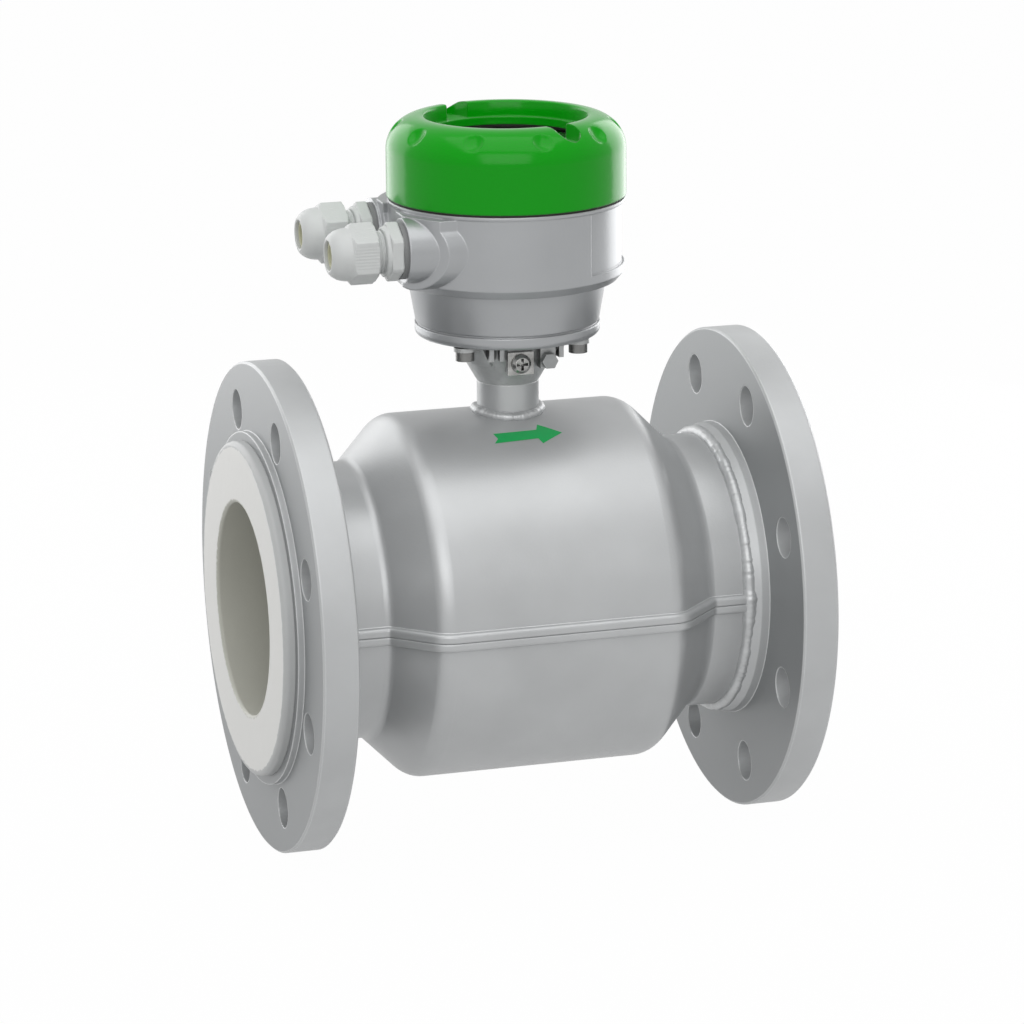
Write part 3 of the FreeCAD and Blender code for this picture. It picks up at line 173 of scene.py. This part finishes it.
def relief(tree, shader, scale, depth, edge=0.0):
    """Fine bumps, over edges rounded by a small radius."""
    place = tree.nodes.new("ShaderNodeTexCoord")
    grain = tree.nodes.new("ShaderNodeTexNoise")
    grain.inputs["Scale"].default_value = scale
    grain.inputs["Detail"].default_value = 3
    bump = tree.nodes.new("ShaderNodeBump")
    bump.inputs["Distance"].default_value = depth
    tree.links.new(place.outputs["Object"], grain.inputs["Vector"])
    tree.links.new(grain.outputs["Fac"], bump.inputs["Height"])
    if edge:
        corner = tree.nodes.new("ShaderNodeBevel")
        corner.samples = 6
        corner.inputs["Radius"].default_value = edge
        tree.links.new(corner.outputs["Normal"], bump.inputs["Normal"])
    tree.links.new(bump.outputs["Normal"], shader.inputs["Normal"])


def dress(material, *names):
    """Give solids their finish."""
    for name in names:
        solids[name].data.materials.clear()
        solids[name].data.materials.append(material)


def graded(tree, value, start, end, most=1.0, slope="LINEAR"):
    """Turn a value between start and end into a share between nothing and the most."""
    span = tree.nodes.new("ShaderNodeMapRange")
    span.interpolation_type = slope
    span.inputs["From Min"].default_value = start
    span.inputs["From Max"].default_value = end
    span.inputs["To Max"].default_value = most
    tree.links.new(value, span.inputs["Value"])
    return span.outputs["Result"]


def by_radius(tree, shader, low, high, bands, ragged):
    """Colour by distance from the pipe's axis, with a ragged border between bands."""
    place = tree.nodes.new("ShaderNodeTexCoord")
    flat = tree.nodes.new("ShaderNodeVectorMath")
    flat.operation = "MULTIPLY"
    flat.inputs[1].default_value = (0, 1, 1)
    away = tree.nodes.new("ShaderNodeVectorMath")
    away.operation = "LENGTH"
    tree.links.new(place.outputs["Object"], flat.inputs[0])
    tree.links.new(flat.outputs[0], away.inputs[0])
    speck = tree.nodes.new("ShaderNodeTexNoise")
    speck.inputs["Scale"].default_value = 420
    speck.inputs["Detail"].default_value = 5
    stray = tree.nodes.new("ShaderNodeMath")
    stray.operation = "MULTIPLY_ADD"
    stray.inputs[1].default_value = ragged
    tree.links.new(place.outputs["Object"], speck.inputs["Vector"])
    tree.links.new(speck.outputs["Fac"], stray.inputs[0])
    tree.links.new(away.outputs["Value"], stray.inputs[2])
    ramp = tree.nodes.new("ShaderNodeValToRGB")
    while len(ramp.color_ramp.elements) < len(bands):
        ramp.color_ramp.elements.new(0.5)
    for stop, (radius, colour) in zip(ramp.color_ramp.elements, bands):
        stop.position = (radius - low) / (high - low)
        stop.color = (*colour, 1)
    tree.links.new(graded(tree, stray.outputs[0], low, high), ramp.inputs["Fac"])
    tree.links.new(ramp.outputs["Color"], shader.inputs["Base Color"])


# Painted shade: the bore's colour is a darker grey than the ivory faces.
bore_shade_grey, ivory_face, overspray = (0.47, 0.47, 0.42), (0.72, 0.72, 0.70), (0.47, 0.48, 0.48)
bore_end, face_start, face_end, spray_start = 0.0496, 0.0505, 0.0732, 0.0736
bands_from, bands_to = 0.045, 0.077
ivory, shader, tree = finish("ivory_lining", ivory_face, 0.45, spread=0.025, scale=22)
by_radius(tree, shader, bands_from, bands_to,
          ((bore_end, bore_shade_grey), (face_start, ivory_face), (face_end, ivory_face),
           (spray_start, overspray)), ragged=0.0022)
relief(tree, shader, 90, 0.0002, edge=0.0008)
dress(ivory, "liner")

# ---------------------------------------------------------------- flanges and shell
# Forged steel flanges and pressed half shells, blasted and sprayed together in silver-grey
# paint; the spray leaves a fine orange peel. Every edge carries a painted highlight in a lighter
# grey, and the flanges' flat faces carry painted shade in a darker grey.


def tint(tree, shader, share, colour):
    """Turn the base colour toward another one by a share."""
    mix = tree.nodes.new("ShaderNodeMix")
    mix.data_type = "RGBA"
    mix.inputs["B"].default_value = (*colour, 1)
    tree.links.new(share, mix.inputs["Factor"])
    tree.links.new(shader.inputs["Base Color"].links[0].from_socket, mix.inputs["A"])
    tree.links.new(mix.outputs["Result"], shader.inputs["Base Color"])


def painted_edge_highlight(tree, shader, reach, colour):
    """Painted highlight: lighten the base colour along sharp edges, where rounded edges catch the
    light.
    """
    soft = tree.nodes.new("ShaderNodeBevel")
    soft.samples = 6
    soft.inputs["Radius"].default_value = reach
    hard = tree.nodes.new("ShaderNodeNewGeometry")
    match = tree.nodes.new("ShaderNodeVectorMath")
    match.operation = "DOT_PRODUCT"
    tree.links.new(soft.outputs["Normal"], match.inputs[0])
    tree.links.new(hard.outputs["Normal"], match.inputs[1])
    tint(tree, shader, graded(tree, match.outputs["Value"], start=0.985, end=0.80), colour)


def painted_crevice_shade(tree, shader, reach, strength):
    """Painted shade: darken the base colour in corners and crevices, found by ambient occlusion.
    """
    shut_in = tree.nodes.new("ShaderNodeAmbientOcclusion")
    shut_in.samples = 8
    shut_in.inputs["Distance"].default_value = reach
    crevice_shade_share = graded(tree, shut_in.outputs["AO"], start=0.75, end=0.15, most=strength)
    tint(tree, shader, crevice_shade_share, (0.006, 0.006, 0.006))


def painted_face_shade(tree, shader, colour):
    """Painted shade: darken the base colour where the surface looks along the pipe."""
    surface = tree.nodes.new("ShaderNodeNewGeometry")
    parts = tree.nodes.new("ShaderNodeSeparateXYZ")
    along_pipe = tree.nodes.new("ShaderNodeMath")
    along_pipe.operation = "ABSOLUTE"
    tree.links.new(surface.outputs["Normal"], parts.inputs["Vector"])
    tree.links.new(parts.outputs["X"], along_pipe.inputs[0])
    face_shade_share = graded(tree, along_pipe.outputs["Value"], start=0.90, end=0.99,
                      slope="SMOOTHSTEP")
    tint(tree, shader, face_shade_share, colour)


silver_grey, face_shade_grey, edge_highlight_grey = (0.49, 0.50, 0.505), (0.29, 0.30, 0.305), (0.80, 0.81, 0.81)
paint_round = 0.0009
silver, shader, tree = finish("silver_paint", silver_grey, 0.39, metallic=0.48, spread=0.05,
                              scale=26)
# Painted highlight: a lighter grey along the shell's and neck tube's edges.
painted_edge_highlight(tree, shader, paint_round, edge_highlight_grey)
relief(tree, shader, 900, 0.00004, edge=paint_round)
dress(silver, "upper_shell", "lower_shell", "neck_tube")
flange_paint, shader, tree = finish("flange_paint", silver_grey, 0.44, metallic=0.45, spread=0.05,
                                    scale=26)
# Painted shade: the flanges' flat faces are coloured a darker grey.
painted_face_shade(tree, shader, face_shade_grey)
# Painted highlight: a lighter grey along the flanges' edges.
painted_edge_highlight(tree, shader, paint_round, edge_highlight_grey)
relief(tree, shader, 900, 0.00004, edge=paint_round)
dress(flange_paint, "inlet_flange", "outlet_flange")

# ---------------------------------------------------------------- weld beads
# Hand-laid weld where the shells meet each flange neck and round the foot of the neck tube:
# lumpy, with a fresh scale at every step of the torch, heaviest where it closes the seam.
shell_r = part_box("upper_shell")[1].z
neck_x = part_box("neck_adapter")[0].x / 2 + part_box("neck_adapter")[1].x / 2
collar_r = 0.0623
bead_x = 0.0926


def skin(name, rows):
    """A smooth sheet through rings of points; the last ring joins the first."""
    around = len(rows[0])
    faces = []
    for row in range(len(rows)):
        here, there = row * around, (row + 1) % len(rows) * around
        for spot in range(around):
            beside = (spot + 1) % around
            faces.append((here + spot, here + beside, there + beside, there + spot))
    mesh = bpy.data.meshes.new(name)
    mesh.from_pydata([point for row in rows for point in row], [], faces)
    shape = bmesh.new()
    shape.from_mesh(mesh)
    bmesh.ops.recalc_face_normals(shape, faces=shape.faces)
    shape.to_mesh(mesh)
    shape.free()
    mesh.shade_smooth()
    piece = bpy.data.objects.new(name, mesh)
    bpy.context.scene.collection.objects.link(piece)
    return piece


def hang(piece, body, material):
    """Fix a piece to a body, with its finish."""
    piece.data.materials.append(material)
    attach(piece, body)


def lumps(spot, size, strength):
    """Slow unevenness of a hand-laid bead."""
    return noise.noise(Vector(spot) / size) * strength


# Painted highlight: the weld's grey is lighter than the shell's paint.
highlit_weld_paint, shader, tree = finish("highlit_weld", (0.54, 0.55, 0.555), 0.36, metallic=0.45,
                                  spread=0.08, scale=160)
relief(tree, shader, 1400, 0.00005)


def neck_bead(steps=260, around=16):
    """Bead round the foot of the neck tube, lying on the shell's curve."""
    path_r, lift, height, reach = 0.0143, 0.0008, 0.0021, 0.0025
    coarse, fine = (0.0045, 0.0005), (0.0016, 0.0002)
    scale_depth, scales, in_steps = 0.00005, 3, 13
    rows = []
    for step in range(steps):
        angle = math.tau * step / steps
        out = Vector((math.cos(angle), math.sin(angle), 0))
        foot = out * path_r
        foot.z = math.sqrt(shell_r ** 2 - foot.y ** 2)
        normal = Vector((0, foot.y, foot.z)).normalized()
        along = normal.cross(out).normalized()
        out = along.cross(normal)
        foot.x += neck_x
        swell = lumps(foot, *coarse) + lumps(foot, *fine)
        scale = scale_depth * math.sin(step * math.tau * scales / in_steps)
        row = []
        for spot in range(around):
            turn = math.tau * spot / around
            row.append(foot + normal * (lift + (height + swell + scale) * math.sin(turn))
                       + out * (reach + swell + scale) * math.cos(turn))
        rows.append(row)
    return skin("neck_weld_bead", rows)


def flange_bead(name, side, steps=720, around=14):
    """Bead between a flange neck and the shells' collars, with a blob over each seam end."""
    lift, half_width, height, widening = 0.0005, 0.0030, 0.0028, 0.8
    coarse, fine = (0.006, 0.0009), (0.0018, 0.0004)
    blob_height, blob_spread, rough_spread, calm = 0.0012, 0.075, 0.6, 0.45
    scale_depth, scale_steps = 0.00008, 4.5
    rows = []
    for step in range(steps):
        angle = math.tau * step / steps
        out = Vector((0, math.cos(angle), math.sin(angle)))
        middle = Vector((side * bead_x, 0, 0)) + out * (collar_r + lift)
        seam = math.exp(-(math.sin(angle) / blob_spread) ** 2)
        rough = calm + (1 - calm) * math.exp(-(math.sin(angle) / rough_spread) ** 2)
        swell = (lumps(middle, *coarse) + lumps(middle, *fine)) * rough + blob_height * seam
        scale = scale_depth * math.sin(step * math.tau / scale_steps)
        row = []
        for spot in range(around):
            turn = math.tau * spot / around
            sideways = Vector((side, 0, 0)) * (half_width + swell * widening) * math.cos(turn)
            row.append(middle + sideways + out * (height + swell + scale) * math.sin(turn))
        rows.append(row)
    return skin(name, rows)


hang(neck_bead(), "sensor", highlit_weld_paint)
hang(flange_bead("inlet_weld_bead", -1), "sensor", highlit_weld_paint)
hang(flange_bead("outlet_weld_bead", 1), "sensor", highlit_weld_paint)

# ---------------------------------------------------------------- flow arrow
# Stencilled on the front of the upper shell, below the neck, in green paint: a thick arrow with a
# notched tail that points downstream. Its plan is given along the pipe and up the shell's arc.
arrow_plan = ((-0.01688, 0.09457), (-0.01451, 0.09778), (-0.01563, 0.10197), (0.00460, 0.10252),
              (0.00628, 0.10690), (0.01551, 0.09869), (0.00477, 0.09203), (0.00354, 0.09582))
paint_film, slice_width, slices = 0.00006, 0.001, range(92, 107)
paint_r = shell_r + paint_film
arrow = bmesh.new()
arrow.faces.new([arrow.verts.new((x, arc, 0)) for x, arc in arrow_plan])
bmesh.ops.triangulate(arrow, faces=arrow.faces)
for slice_at in slices:
    bmesh.ops.bisect_plane(arrow, geom=arrow.verts[:] + arrow.edges[:] + arrow.faces[:],
                           plane_co=(0, slice_at * slice_width, 0), plane_no=(0, 1, 0))
for corner in arrow.verts:
    angle = corner.co.y / shell_r
    corner.co = Vector((corner.co.x, -paint_r * math.cos(angle), paint_r * math.sin(angle)))
arrow_mesh = bpy.data.meshes.new("flow_arrow")
arrow.normal_update()
if sum(face.normal.dot(Vector((0, -0.5, 1))) for face in arrow.faces) < 0:
    bmesh.ops.reverse_faces(arrow, faces=arrow.faces)
arrow.to_mesh(arrow_mesh)
arrow.free()
arrow_mesh.shade_smooth()
flow_arrow = bpy.data.objects.new("flow_arrow", arrow_mesh)
bpy.context.scene.collection.objects.link(flow_arrow)
stencil, shader, tree = finish("stencil_green", (0.0, 0.352, 0.080), 0.5, spread=0.05, scale=500)
relief(tree, shader, 1500, 0.00004)
hang(flow_arrow, "sensor", stencil)

# ---------------------------------------------------------------- tube, coils and electrodes
# Hidden field parts: stainless tube, enamelled copper coils on soft-iron cores, and two
# electrodes pulled out through insulating bushes by spring washers and nuts.
stainless, shader, tree = finish("stainless", (0.56, 0.56, 0.55), 0.3, metallic=1.0, scale=200)
relief(tree, shader, 1500, 0.00003, edge=0.0003)
dress(stainless, "measuring_tube", "electrode_front", "electrode_rear", "electrode_spring_front",
      "electrode_spring_rear", "electrode_nut_front", "electrode_nut_rear")
soft_iron, shader, tree = finish("soft_iron", (0.16, 0.16, 0.17), 0.5, metallic=0.8, scale=150)
relief(tree, shader, 700, 0.0001)
dress(soft_iron, "magnet_yoke", "upper_pole_shoe", "lower_pole_shoe", "upper_pole_core",
      "lower_pole_core")
copper, shader, tree = finish("copper_winding", (0.50, 0.20, 0.08), 0.35, metallic=0.9, scale=400)
relief(tree, shader, 2500, 0.0002)
dress(copper, "upper_coil", "lower_coil")
bushing, shader, tree = finish("insulating_bush", (0.75, 0.75, 0.70), 0.45)
relief(tree, shader, 500, 0.00005)
dress(bushing, "electrode_bush_front", "electrode_bush_rear")

# ---------------------------------------------------------------- neck adapter and its fasteners
# Die-cast adapter in the sensor's paint, under a dark gasket; blackened socket screws, a square
# clamp washer for the earth wire and a small lock bolt. All have painted highlights along their
# edges, and the adapter, clamp and screw have painted shade in their crevices.
casting, shader, tree = finish("painted_casting", (0.45, 0.46, 0.46), 0.38, metallic=0.5,
                               spread=0.12, scale=140)
# Painted highlight: a lighter grey along the adapter's edges.
painted_edge_highlight(tree, shader, 0.0006, (0.66, 0.67, 0.66))
# Painted shade in the adapter's crevices.
painted_crevice_shade(tree, shader, 0.006, 0.85)
relief(tree, shader, 420, 0.0003, edge=0.0005)
dress(casting, "neck_adapter")
dark_steel, shader, tree = finish("dark_steel", (0.22, 0.22, 0.215), 0.28, metallic=0.9,
                                  spread=0.12, scale=260)
# Painted highlight: a lighter grey along the screws' edges.
painted_edge_highlight(tree, shader, 0.0004, (0.5, 0.5, 0.48))
relief(tree, shader, 900, 0.00008, edge=0.0003)
dress(dark_steel, "adapter_screws")
plated, shader, tree = finish("plated_steel", (0.36, 0.36, 0.35), 0.18, metallic=1.0, spread=0.35,
                              scale=230)
# Painted highlight: a lighter grey along the clamp's and screw's edges.
painted_edge_highlight(tree, shader, 0.0004, (0.75, 0.75, 0.73))
# Painted shade in the clamp's and screw's crevices, darkest in the screw's cross.
painted_crevice_shade(tree, shader, 0.0022, 0.98)
relief(tree, shader, 500, 0.00025, edge=0.0004)
dress(plated, "ground_clamp", "ground_screw")
zinc, shader, tree = finish("dull_zinc", (0.36, 0.37, 0.37), 0.42, metallic=0.6, spread=0.06,
                            scale=260)
# Painted highlight: a lighter grey along the lock bolt's edges.
painted_edge_highlight(tree, shader, 0.0004, (0.58, 0.59, 0.58))
relief(tree, shader, 900, 0.00006, edge=0.0003)
dress(zinc, "lock_bolt")
rubber, shader, tree = finish("black_rubber", (0.020, 0.016, 0.013), 0.6)
relief(tree, shader, 800, 0.0001)
dress(rubber, "neck_gasket", "cover_seal", "window_seal")

# ---------------------------------------------------------------- converter housing
# Die-cast aluminium pot in a harder, darker coat of the same silver-grey; it stands on the
# gasket of the neck adapter.
coat, shader, tree = finish("housing_coat", (0.39, 0.40, 0.41), 0.32, metallic=0.6, spread=0.03,
                            scale=34)
# Painted highlight: a lighter grey along the housing's edges.
painted_edge_highlight(tree, shader, 0.0009, (0.50, 0.51, 0.52))
relief(tree, shader, 700, 0.00004, edge=0.0010)
dress(coat, "converter_housing")

# ---------------------------------------------------------------- cover and window
# Casting in green gloss enamel, screwed on the housing; ten grip dimples ring its shoulder and
# two key slots are milled across its recess. Toughened glass is held from inside by a black ring.
enamel, shader, tree = finish("green_enamel", (0.0, 0.300, 0.002), 0.17, spread=0.015, scale=25)
shader.inputs["Specular IOR Level"].default_value = 0.2
shader.inputs["Sheen Weight"].default_value = 0.25
shader.inputs["Sheen Roughness"].default_value = 0.38
shader.inputs["Sheen Tint"].default_value = (0.93, 1.0, 0.93, 1)
relief(tree, shader, 260, 0.00004, edge=0.0009)
cover_low, cover_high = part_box("cover")
cover_x = cover_low.x / 2 + cover_high.x / 2
cover_r = cover_high.x - cover_x
cover_foot, cover_top = cover_low.z, cover_high.z
shoulder_r, foot_round, skirt_rises, thread_rise = 0.015, 0.0004, (0.006, 0.013), 0.012
recess_r, window_r, pocket_r = cover_r - 0.0171, cover_r - 0.0197, cover_r - 0.0131
crown_r, thread_r = cover_r - 0.0087, cover_r - 0.0042
shelf_drop, bed_drop, crown_drop = 0.007, 0.0104, 0.0188
rim_round = ((0.0009, 0), (0.0003, 0.0003), (0, 0.0010))
dimple_count, dimple_first = 10, math.radians(-87.8)
dimple_reach, dimple_depth, dimple_margin = 0.0047, 0.0018, 0.001
slot_turn, slot_half, slot_end = math.radians(-69.8), 0.0058, 0.0442
slot_depth, slot_clear = 0.0070, 0.004
shoulder_steps, cover_steps, slot_steps = 44, 640, 32


def spoke(angle):
    """Level unit vector at an angle."""
    return Vector((math.cos(angle), math.sin(angle), 0))


def on_axis(level):
    """Point of the cover's axis at a level."""
    return Vector((cover_x, 0, level))


def shoulder_heart(out):
    """Centre of the shoulder's round, out along a spoke."""
    return on_axis(cover_top - shoulder_r) + out * (cover_r - shoulder_r)


def cover_outline():
    """Closed section of the cover: skirt, round shoulder, sunk shelf, glass pocket and thread."""
    outline = [(thread_r, cover_foot), (cover_r - foot_round, cover_foot),
               (cover_r, cover_foot + foot_round)]
    outline += [(cover_r, cover_foot + rise) for rise in skirt_rises]
    for step in range(shoulder_steps + 1):
        angle = math.pi / 2 * step / shoulder_steps
        outline.append((cover_r - shoulder_r + shoulder_r * math.cos(angle),
                        cover_top - shoulder_r + shoulder_r * math.sin(angle)))
    outline += [(recess_r + width, cover_top - drop) for width, drop in rim_round]
    outline += [(recess_r, cover_top - shelf_drop), (window_r, cover_top - shelf_drop),
                (window_r, cover_top - bed_drop), (pocket_r, cover_top - bed_drop),
                (pocket_r, cover_top - crown_drop), (crown_r, cover_top - crown_drop),
                (crown_r, cover_foot + thread_rise), (thread_r, cover_foot + thread_rise)]
    return outline


def pressed(spot, push):
    """Push a point of the shoulder in where a grip dimple lies."""
    ball = (dimple_reach ** 2 + dimple_depth ** 2) / (2 * dimple_depth)
    for number in range(dimple_count):
        out = spoke(dimple_first + math.tau * number / dimple_count)
        middle = shoulder_heart(out) + (out + Vector((0, 0, 1))) * shoulder_r * math.sqrt(0.5)
        gap = (spot - middle).length
        if gap < dimple_reach:
            return spot - push * (math.sqrt(ball ** 2 - gap ** 2) - ball + dimple_depth)
    return spot


def turned_cover():
    """The cover turned to its section, with its dimples."""
    rows = []
    for ring_r, level in cover_outline():
        row = []
        for step in range(cover_steps):
            out = spoke(math.tau * step / cover_steps)
            spot = on_axis(level) + out * ring_r
            if ring_r > recess_r + dimple_margin and level > cover_top - shoulder_r:
                spot = pressed(spot, (spot - shoulder_heart(out)).normalized())
            row.append(spot)
        rows.append(row)
    return skin("cover_shell", rows)


def slot_cutter():
    """A long round-ended block that cuts both key slots at once, across the recess."""
    along = spoke(slot_turn)
    across = Vector((-math.sin(slot_turn), math.cos(slot_turn), 0))
    rim = []
    for side in (1, -1):
        for step in range(slot_steps + 1):
            angle = math.pi * step / slot_steps - math.pi / 2
            rim.append(on_axis(cover_top - slot_depth) + along * side * slot_end
                       + (along * math.cos(angle) + across * math.sin(angle)) * side * slot_half)
    lift = Vector((0, 0, slot_depth + slot_clear))
    count = len(rim)
    faces = [tuple(reversed(range(count))), tuple(range(count, 2 * count))]
    for spot in range(count):
        beside = (spot + 1) % count
        faces.append((spot, beside, beside + count, spot + count))
    mesh = bpy.data.meshes.new("key_slot_cutter")
    mesh.from_pydata(rim + [spot + lift for spot in rim], [], faces)
    cutter = bpy.data.objects.new("key_slot_cutter", mesh)
    bpy.context.scene.collection.objects.link(cutter)
    return cutter


def mill(piece, cutter):
    """Cut a shape out of a piece, then put the cutter away."""
    milling = piece.modifiers.new("milling", "BOOLEAN")
    milling.operation, milling.solver, milling.object = "DIFFERENCE", "EXACT", cutter
    bpy.context.view_layer.update()
    cut_piece = piece.evaluated_get(bpy.context.evaluated_depsgraph_get())
    milled = bpy.data.meshes.new_from_object(cut_piece)
    piece.modifiers.clear()
    piece.data = milled
    bpy.data.objects.remove(cutter)


def crisp(piece, degrees):
    """Keep edges sharper than an angle."""
    piece.data.set_sharp_from_angle(angle=math.radians(degrees))


cover_shell = turned_cover()
mill(cover_shell, slot_cutter())
crisp(cover_shell, degrees=28)
hang(cover_shell, "cover", enamel)
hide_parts("cover")
pane = bpy.data.materials.new("toughened_glass")
pane.use_nodes = True
shader = pane.node_tree.nodes["Principled BSDF"]
shader.inputs["Base Color"].default_value = (0.93, 0.95, 0.94, 1)
shader.inputs["Roughness"].default_value = 0.02
shader.inputs["Transmission Weight"].default_value = 1.0
shader.inputs["IOR"].default_value = 1.5
relief(pane.node_tree, shader, 12, 0.00002)
dress(pane, "window_glass")
black_plastic, shader, tree = finish("black_plastic", (0.022, 0.022, 0.024), 0.45)
relief(tree, shader, 1400, 0.00006, edge=0.0003)
dress(black_plastic, "window_ring", "power_module", "display_carrier", "display_bezel")

# ---------------------------------------------------------------- electronics and display
# Coated boards with green terminal blocks, brass spacers, a dark display and four grey keys
# on metal switches, all inside the housing.
board, shader, tree = finish("coated_board", (0.01, 0.10, 0.035), 0.3, spread=0.2, scale=300)
relief(tree, shader, 600, 0.00008)
dress(board, "main_board", "display_board")
terminal, shader, tree = finish("terminal_plastic", (0.02, 0.22, 0.07), 0.4)
relief(tree, shader, 1200, 0.00005, edge=0.0003)
dress(terminal, "terminal_block_front", "terminal_block_rear")
brass, shader, tree = finish("turned_brass", (0.70, 0.50, 0.18), 0.25, metallic=1.0)
relief(tree, shader, 900, 0.00003, edge=0.0002)
dress(brass, "display_spacers")
screen, shader, tree = finish("dark_screen", (0.10, 0.13, 0.11), 0.12, spread=0.03)
relief(tree, shader, 3000, 0.00001, edge=0.0002)
dress(screen, "display_screen")
key_cap, shader, tree = finish("key_cap", (0.24, 0.25, 0.26), 0.5)
relief(tree, shader, 1500, 0.00004, edge=0.0004)
dress(key_cap, "key_1", "key_2", "key_3", "key_4")
dress(stainless, "key_switches")

# ---------------------------------------------------------------- cable glands
# Moulded nylon glands on flat washers: a low hexagon with a conical collar, a threaded front, and
# a domed nut with faintly ribbed flats that squeezes a cream sealing insert. Sections are given
# as distance out from the washer, and radius.
nylon, shader, tree = finish("grey_nylon", (0.57, 0.585, 0.58), 0.42, spread=0.02, scale=90)
shader.inputs["Subsurface Weight"].default_value = 0.06
shader.inputs["Subsurface Radius"].default_value = (0.002, 0.002, 0.002)
relief(tree, shader, 800, 0.00004, edge=0.0004)
cream, shader, tree = finish("cream_insert", (0.62, 0.62, 0.45), 0.55)
relief(tree, shader, 700, 0.00008, edge=0.0004)
dress(cream, "gland_insert_front", "gland_insert_rear")
flat_washer, shader, tree = finish("grey_washer", (0.20, 0.205, 0.205), 0.6)
relief(tree, shader, 900, 0.00005)
dress(flat_washer, "gland_washer_front", "gland_washer_rear")


def from_flat(angle):
    """Angle from the middle of the nearest flat of a hexagon."""
    return (angle - math.radians(30)) % math.radians(60) - math.radians(30)


def hexagon(flats, corner_r):
    """Radius by angle of a hexagon with turned-off corners."""
    def radius(angle):
        return min(flats / 2 / math.cos(from_flat(angle)), corner_r)
    return radius


def thread(distance):
    """Radius by angle of the body's thread at a distance out."""
    pitch, root_r, crest_r, roundness = 0.0015, 0.0086, 0.00955, 0.7

    def radius(angle):
        phase = (distance / pitch + angle / math.tau) % 1
        return root_r + (crest_r - root_r) * (1 - abs(2 * phase - 1)) ** roundness
    return radius


def ribbed_hexagon(limit):
    """Radius by angle of the nut's ribbed hexagon, turned off at a limit."""
    flat_r, corner_r = 0.0120, 0.01375
    rib_height, rib_pitch, ribbed_half = 0.00005, 0.0014, 0.0055

    def radius(angle):
        across = math.tan(from_flat(angle)) * flat_r
        rib = 0
        if abs(across) < ribbed_half:
            rib = rib_height * math.cos(across * math.tau / rib_pitch)
        return min(flat_r / math.cos(from_flat(angle)) + rib, corner_r, limit)
    return radius


def lathe_rows(seat, section, around):
    """Rings about a line along -X through the seat."""
    rows = []
    for distance, radius in section:
        row = []
        for spot in range(around):
            angle = math.tau * spot / around
            ring = radius(angle) if callable(radius) else radius
            row.append(Vector((seat.x - distance, seat.y + ring * math.cos(angle),
                               seat.z + ring * math.sin(angle))))
        rows.append(row)
    return rows


def gland_fitting(name, seat, around=96):
    """Body of a gland: shank, hexagon, conical collar, thread and the claws' cone."""
    hexagon_full, hexagon_end = hexagon(0.0234, 0.0131), hexagon(0.0228, 0.0125)
    thread_start, thread_length, thread_steps = 0.0095, 0.0111, 90
    section = [(-0.009, 0.0070), (-0.009, 0.0099), (0.0020, 0.0099), (0.0020, hexagon_end),
               (0.0025, hexagon_full), (0.0068, hexagon_full), (0.0073, hexagon_end),
               (0.0074, 0.0114), (0.0088, 0.0109), (0.0092, 0.0103), (0.0093, 0.0088)]
    for step in range(thread_steps):
        distance = thread_start + thread_length * step / thread_steps
        section.append((distance, thread(distance)))
    section += [(0.0208, 0.0090), (0.0268, 0.0079), (0.0268, 0.0070)]
    return skin(name, lathe_rows(seat, section, around))


def gland_cap(name, seat, around=360):
    """Nut of a gland: ribbed hexagon turned off by a dome, and the cable's mouth."""
    dome = ((0.0130, 0.0126), (0.0136, 0.0138), (0.0180, 0.0138), (0.0222, 0.0138),
            (0.0232, 0.01370), (0.0238, 0.01310), (0.0243, 0.01240), (0.0248, 0.01185),
            (0.0253, 0.01165), (0.0268, 0.01150), (0.0284, 0.01120), (0.0298, 0.01075),
            (0.0310, 0.01010), (0.0320, 0.00940), (0.0328, 0.00860), (0.0333, 0.00780),
            (0.0335, 0.00700))
    section = [(0.0130, 0.0096)]
    section += [(distance, ribbed_hexagon(limit)) for distance, limit in dome]
    section += [(0.0331, 0.0064), (0.0313, 0.0064), (0.0275, 0.0096)]
    return skin(name, lathe_rows(seat, section, around))


for place_name in ("front", "rear"):
    washer_low, washer_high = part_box("gland_washer_" + place_name)
    seat = Vector((washer_high.x, washer_low.y / 2 + washer_high.y / 2,
                   washer_low.z / 2 + washer_high.z / 2))
    fitting = gland_fitting("gland_fitting_" + place_name, seat)
    crisp(fitting, degrees=24)
    hang(fitting, "sensor", nylon)
    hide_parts("gland_body_" + place_name)
    cap = gland_cap("gland_cap_" + place_name, seat)
    crisp(cap, degrees=24)
    hang(cap, "gland_nut_" + place_name, nylon)
    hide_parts("gland_nut_" + place_name)

bpy.context.scene.view_settings.view_transform = "Standard"
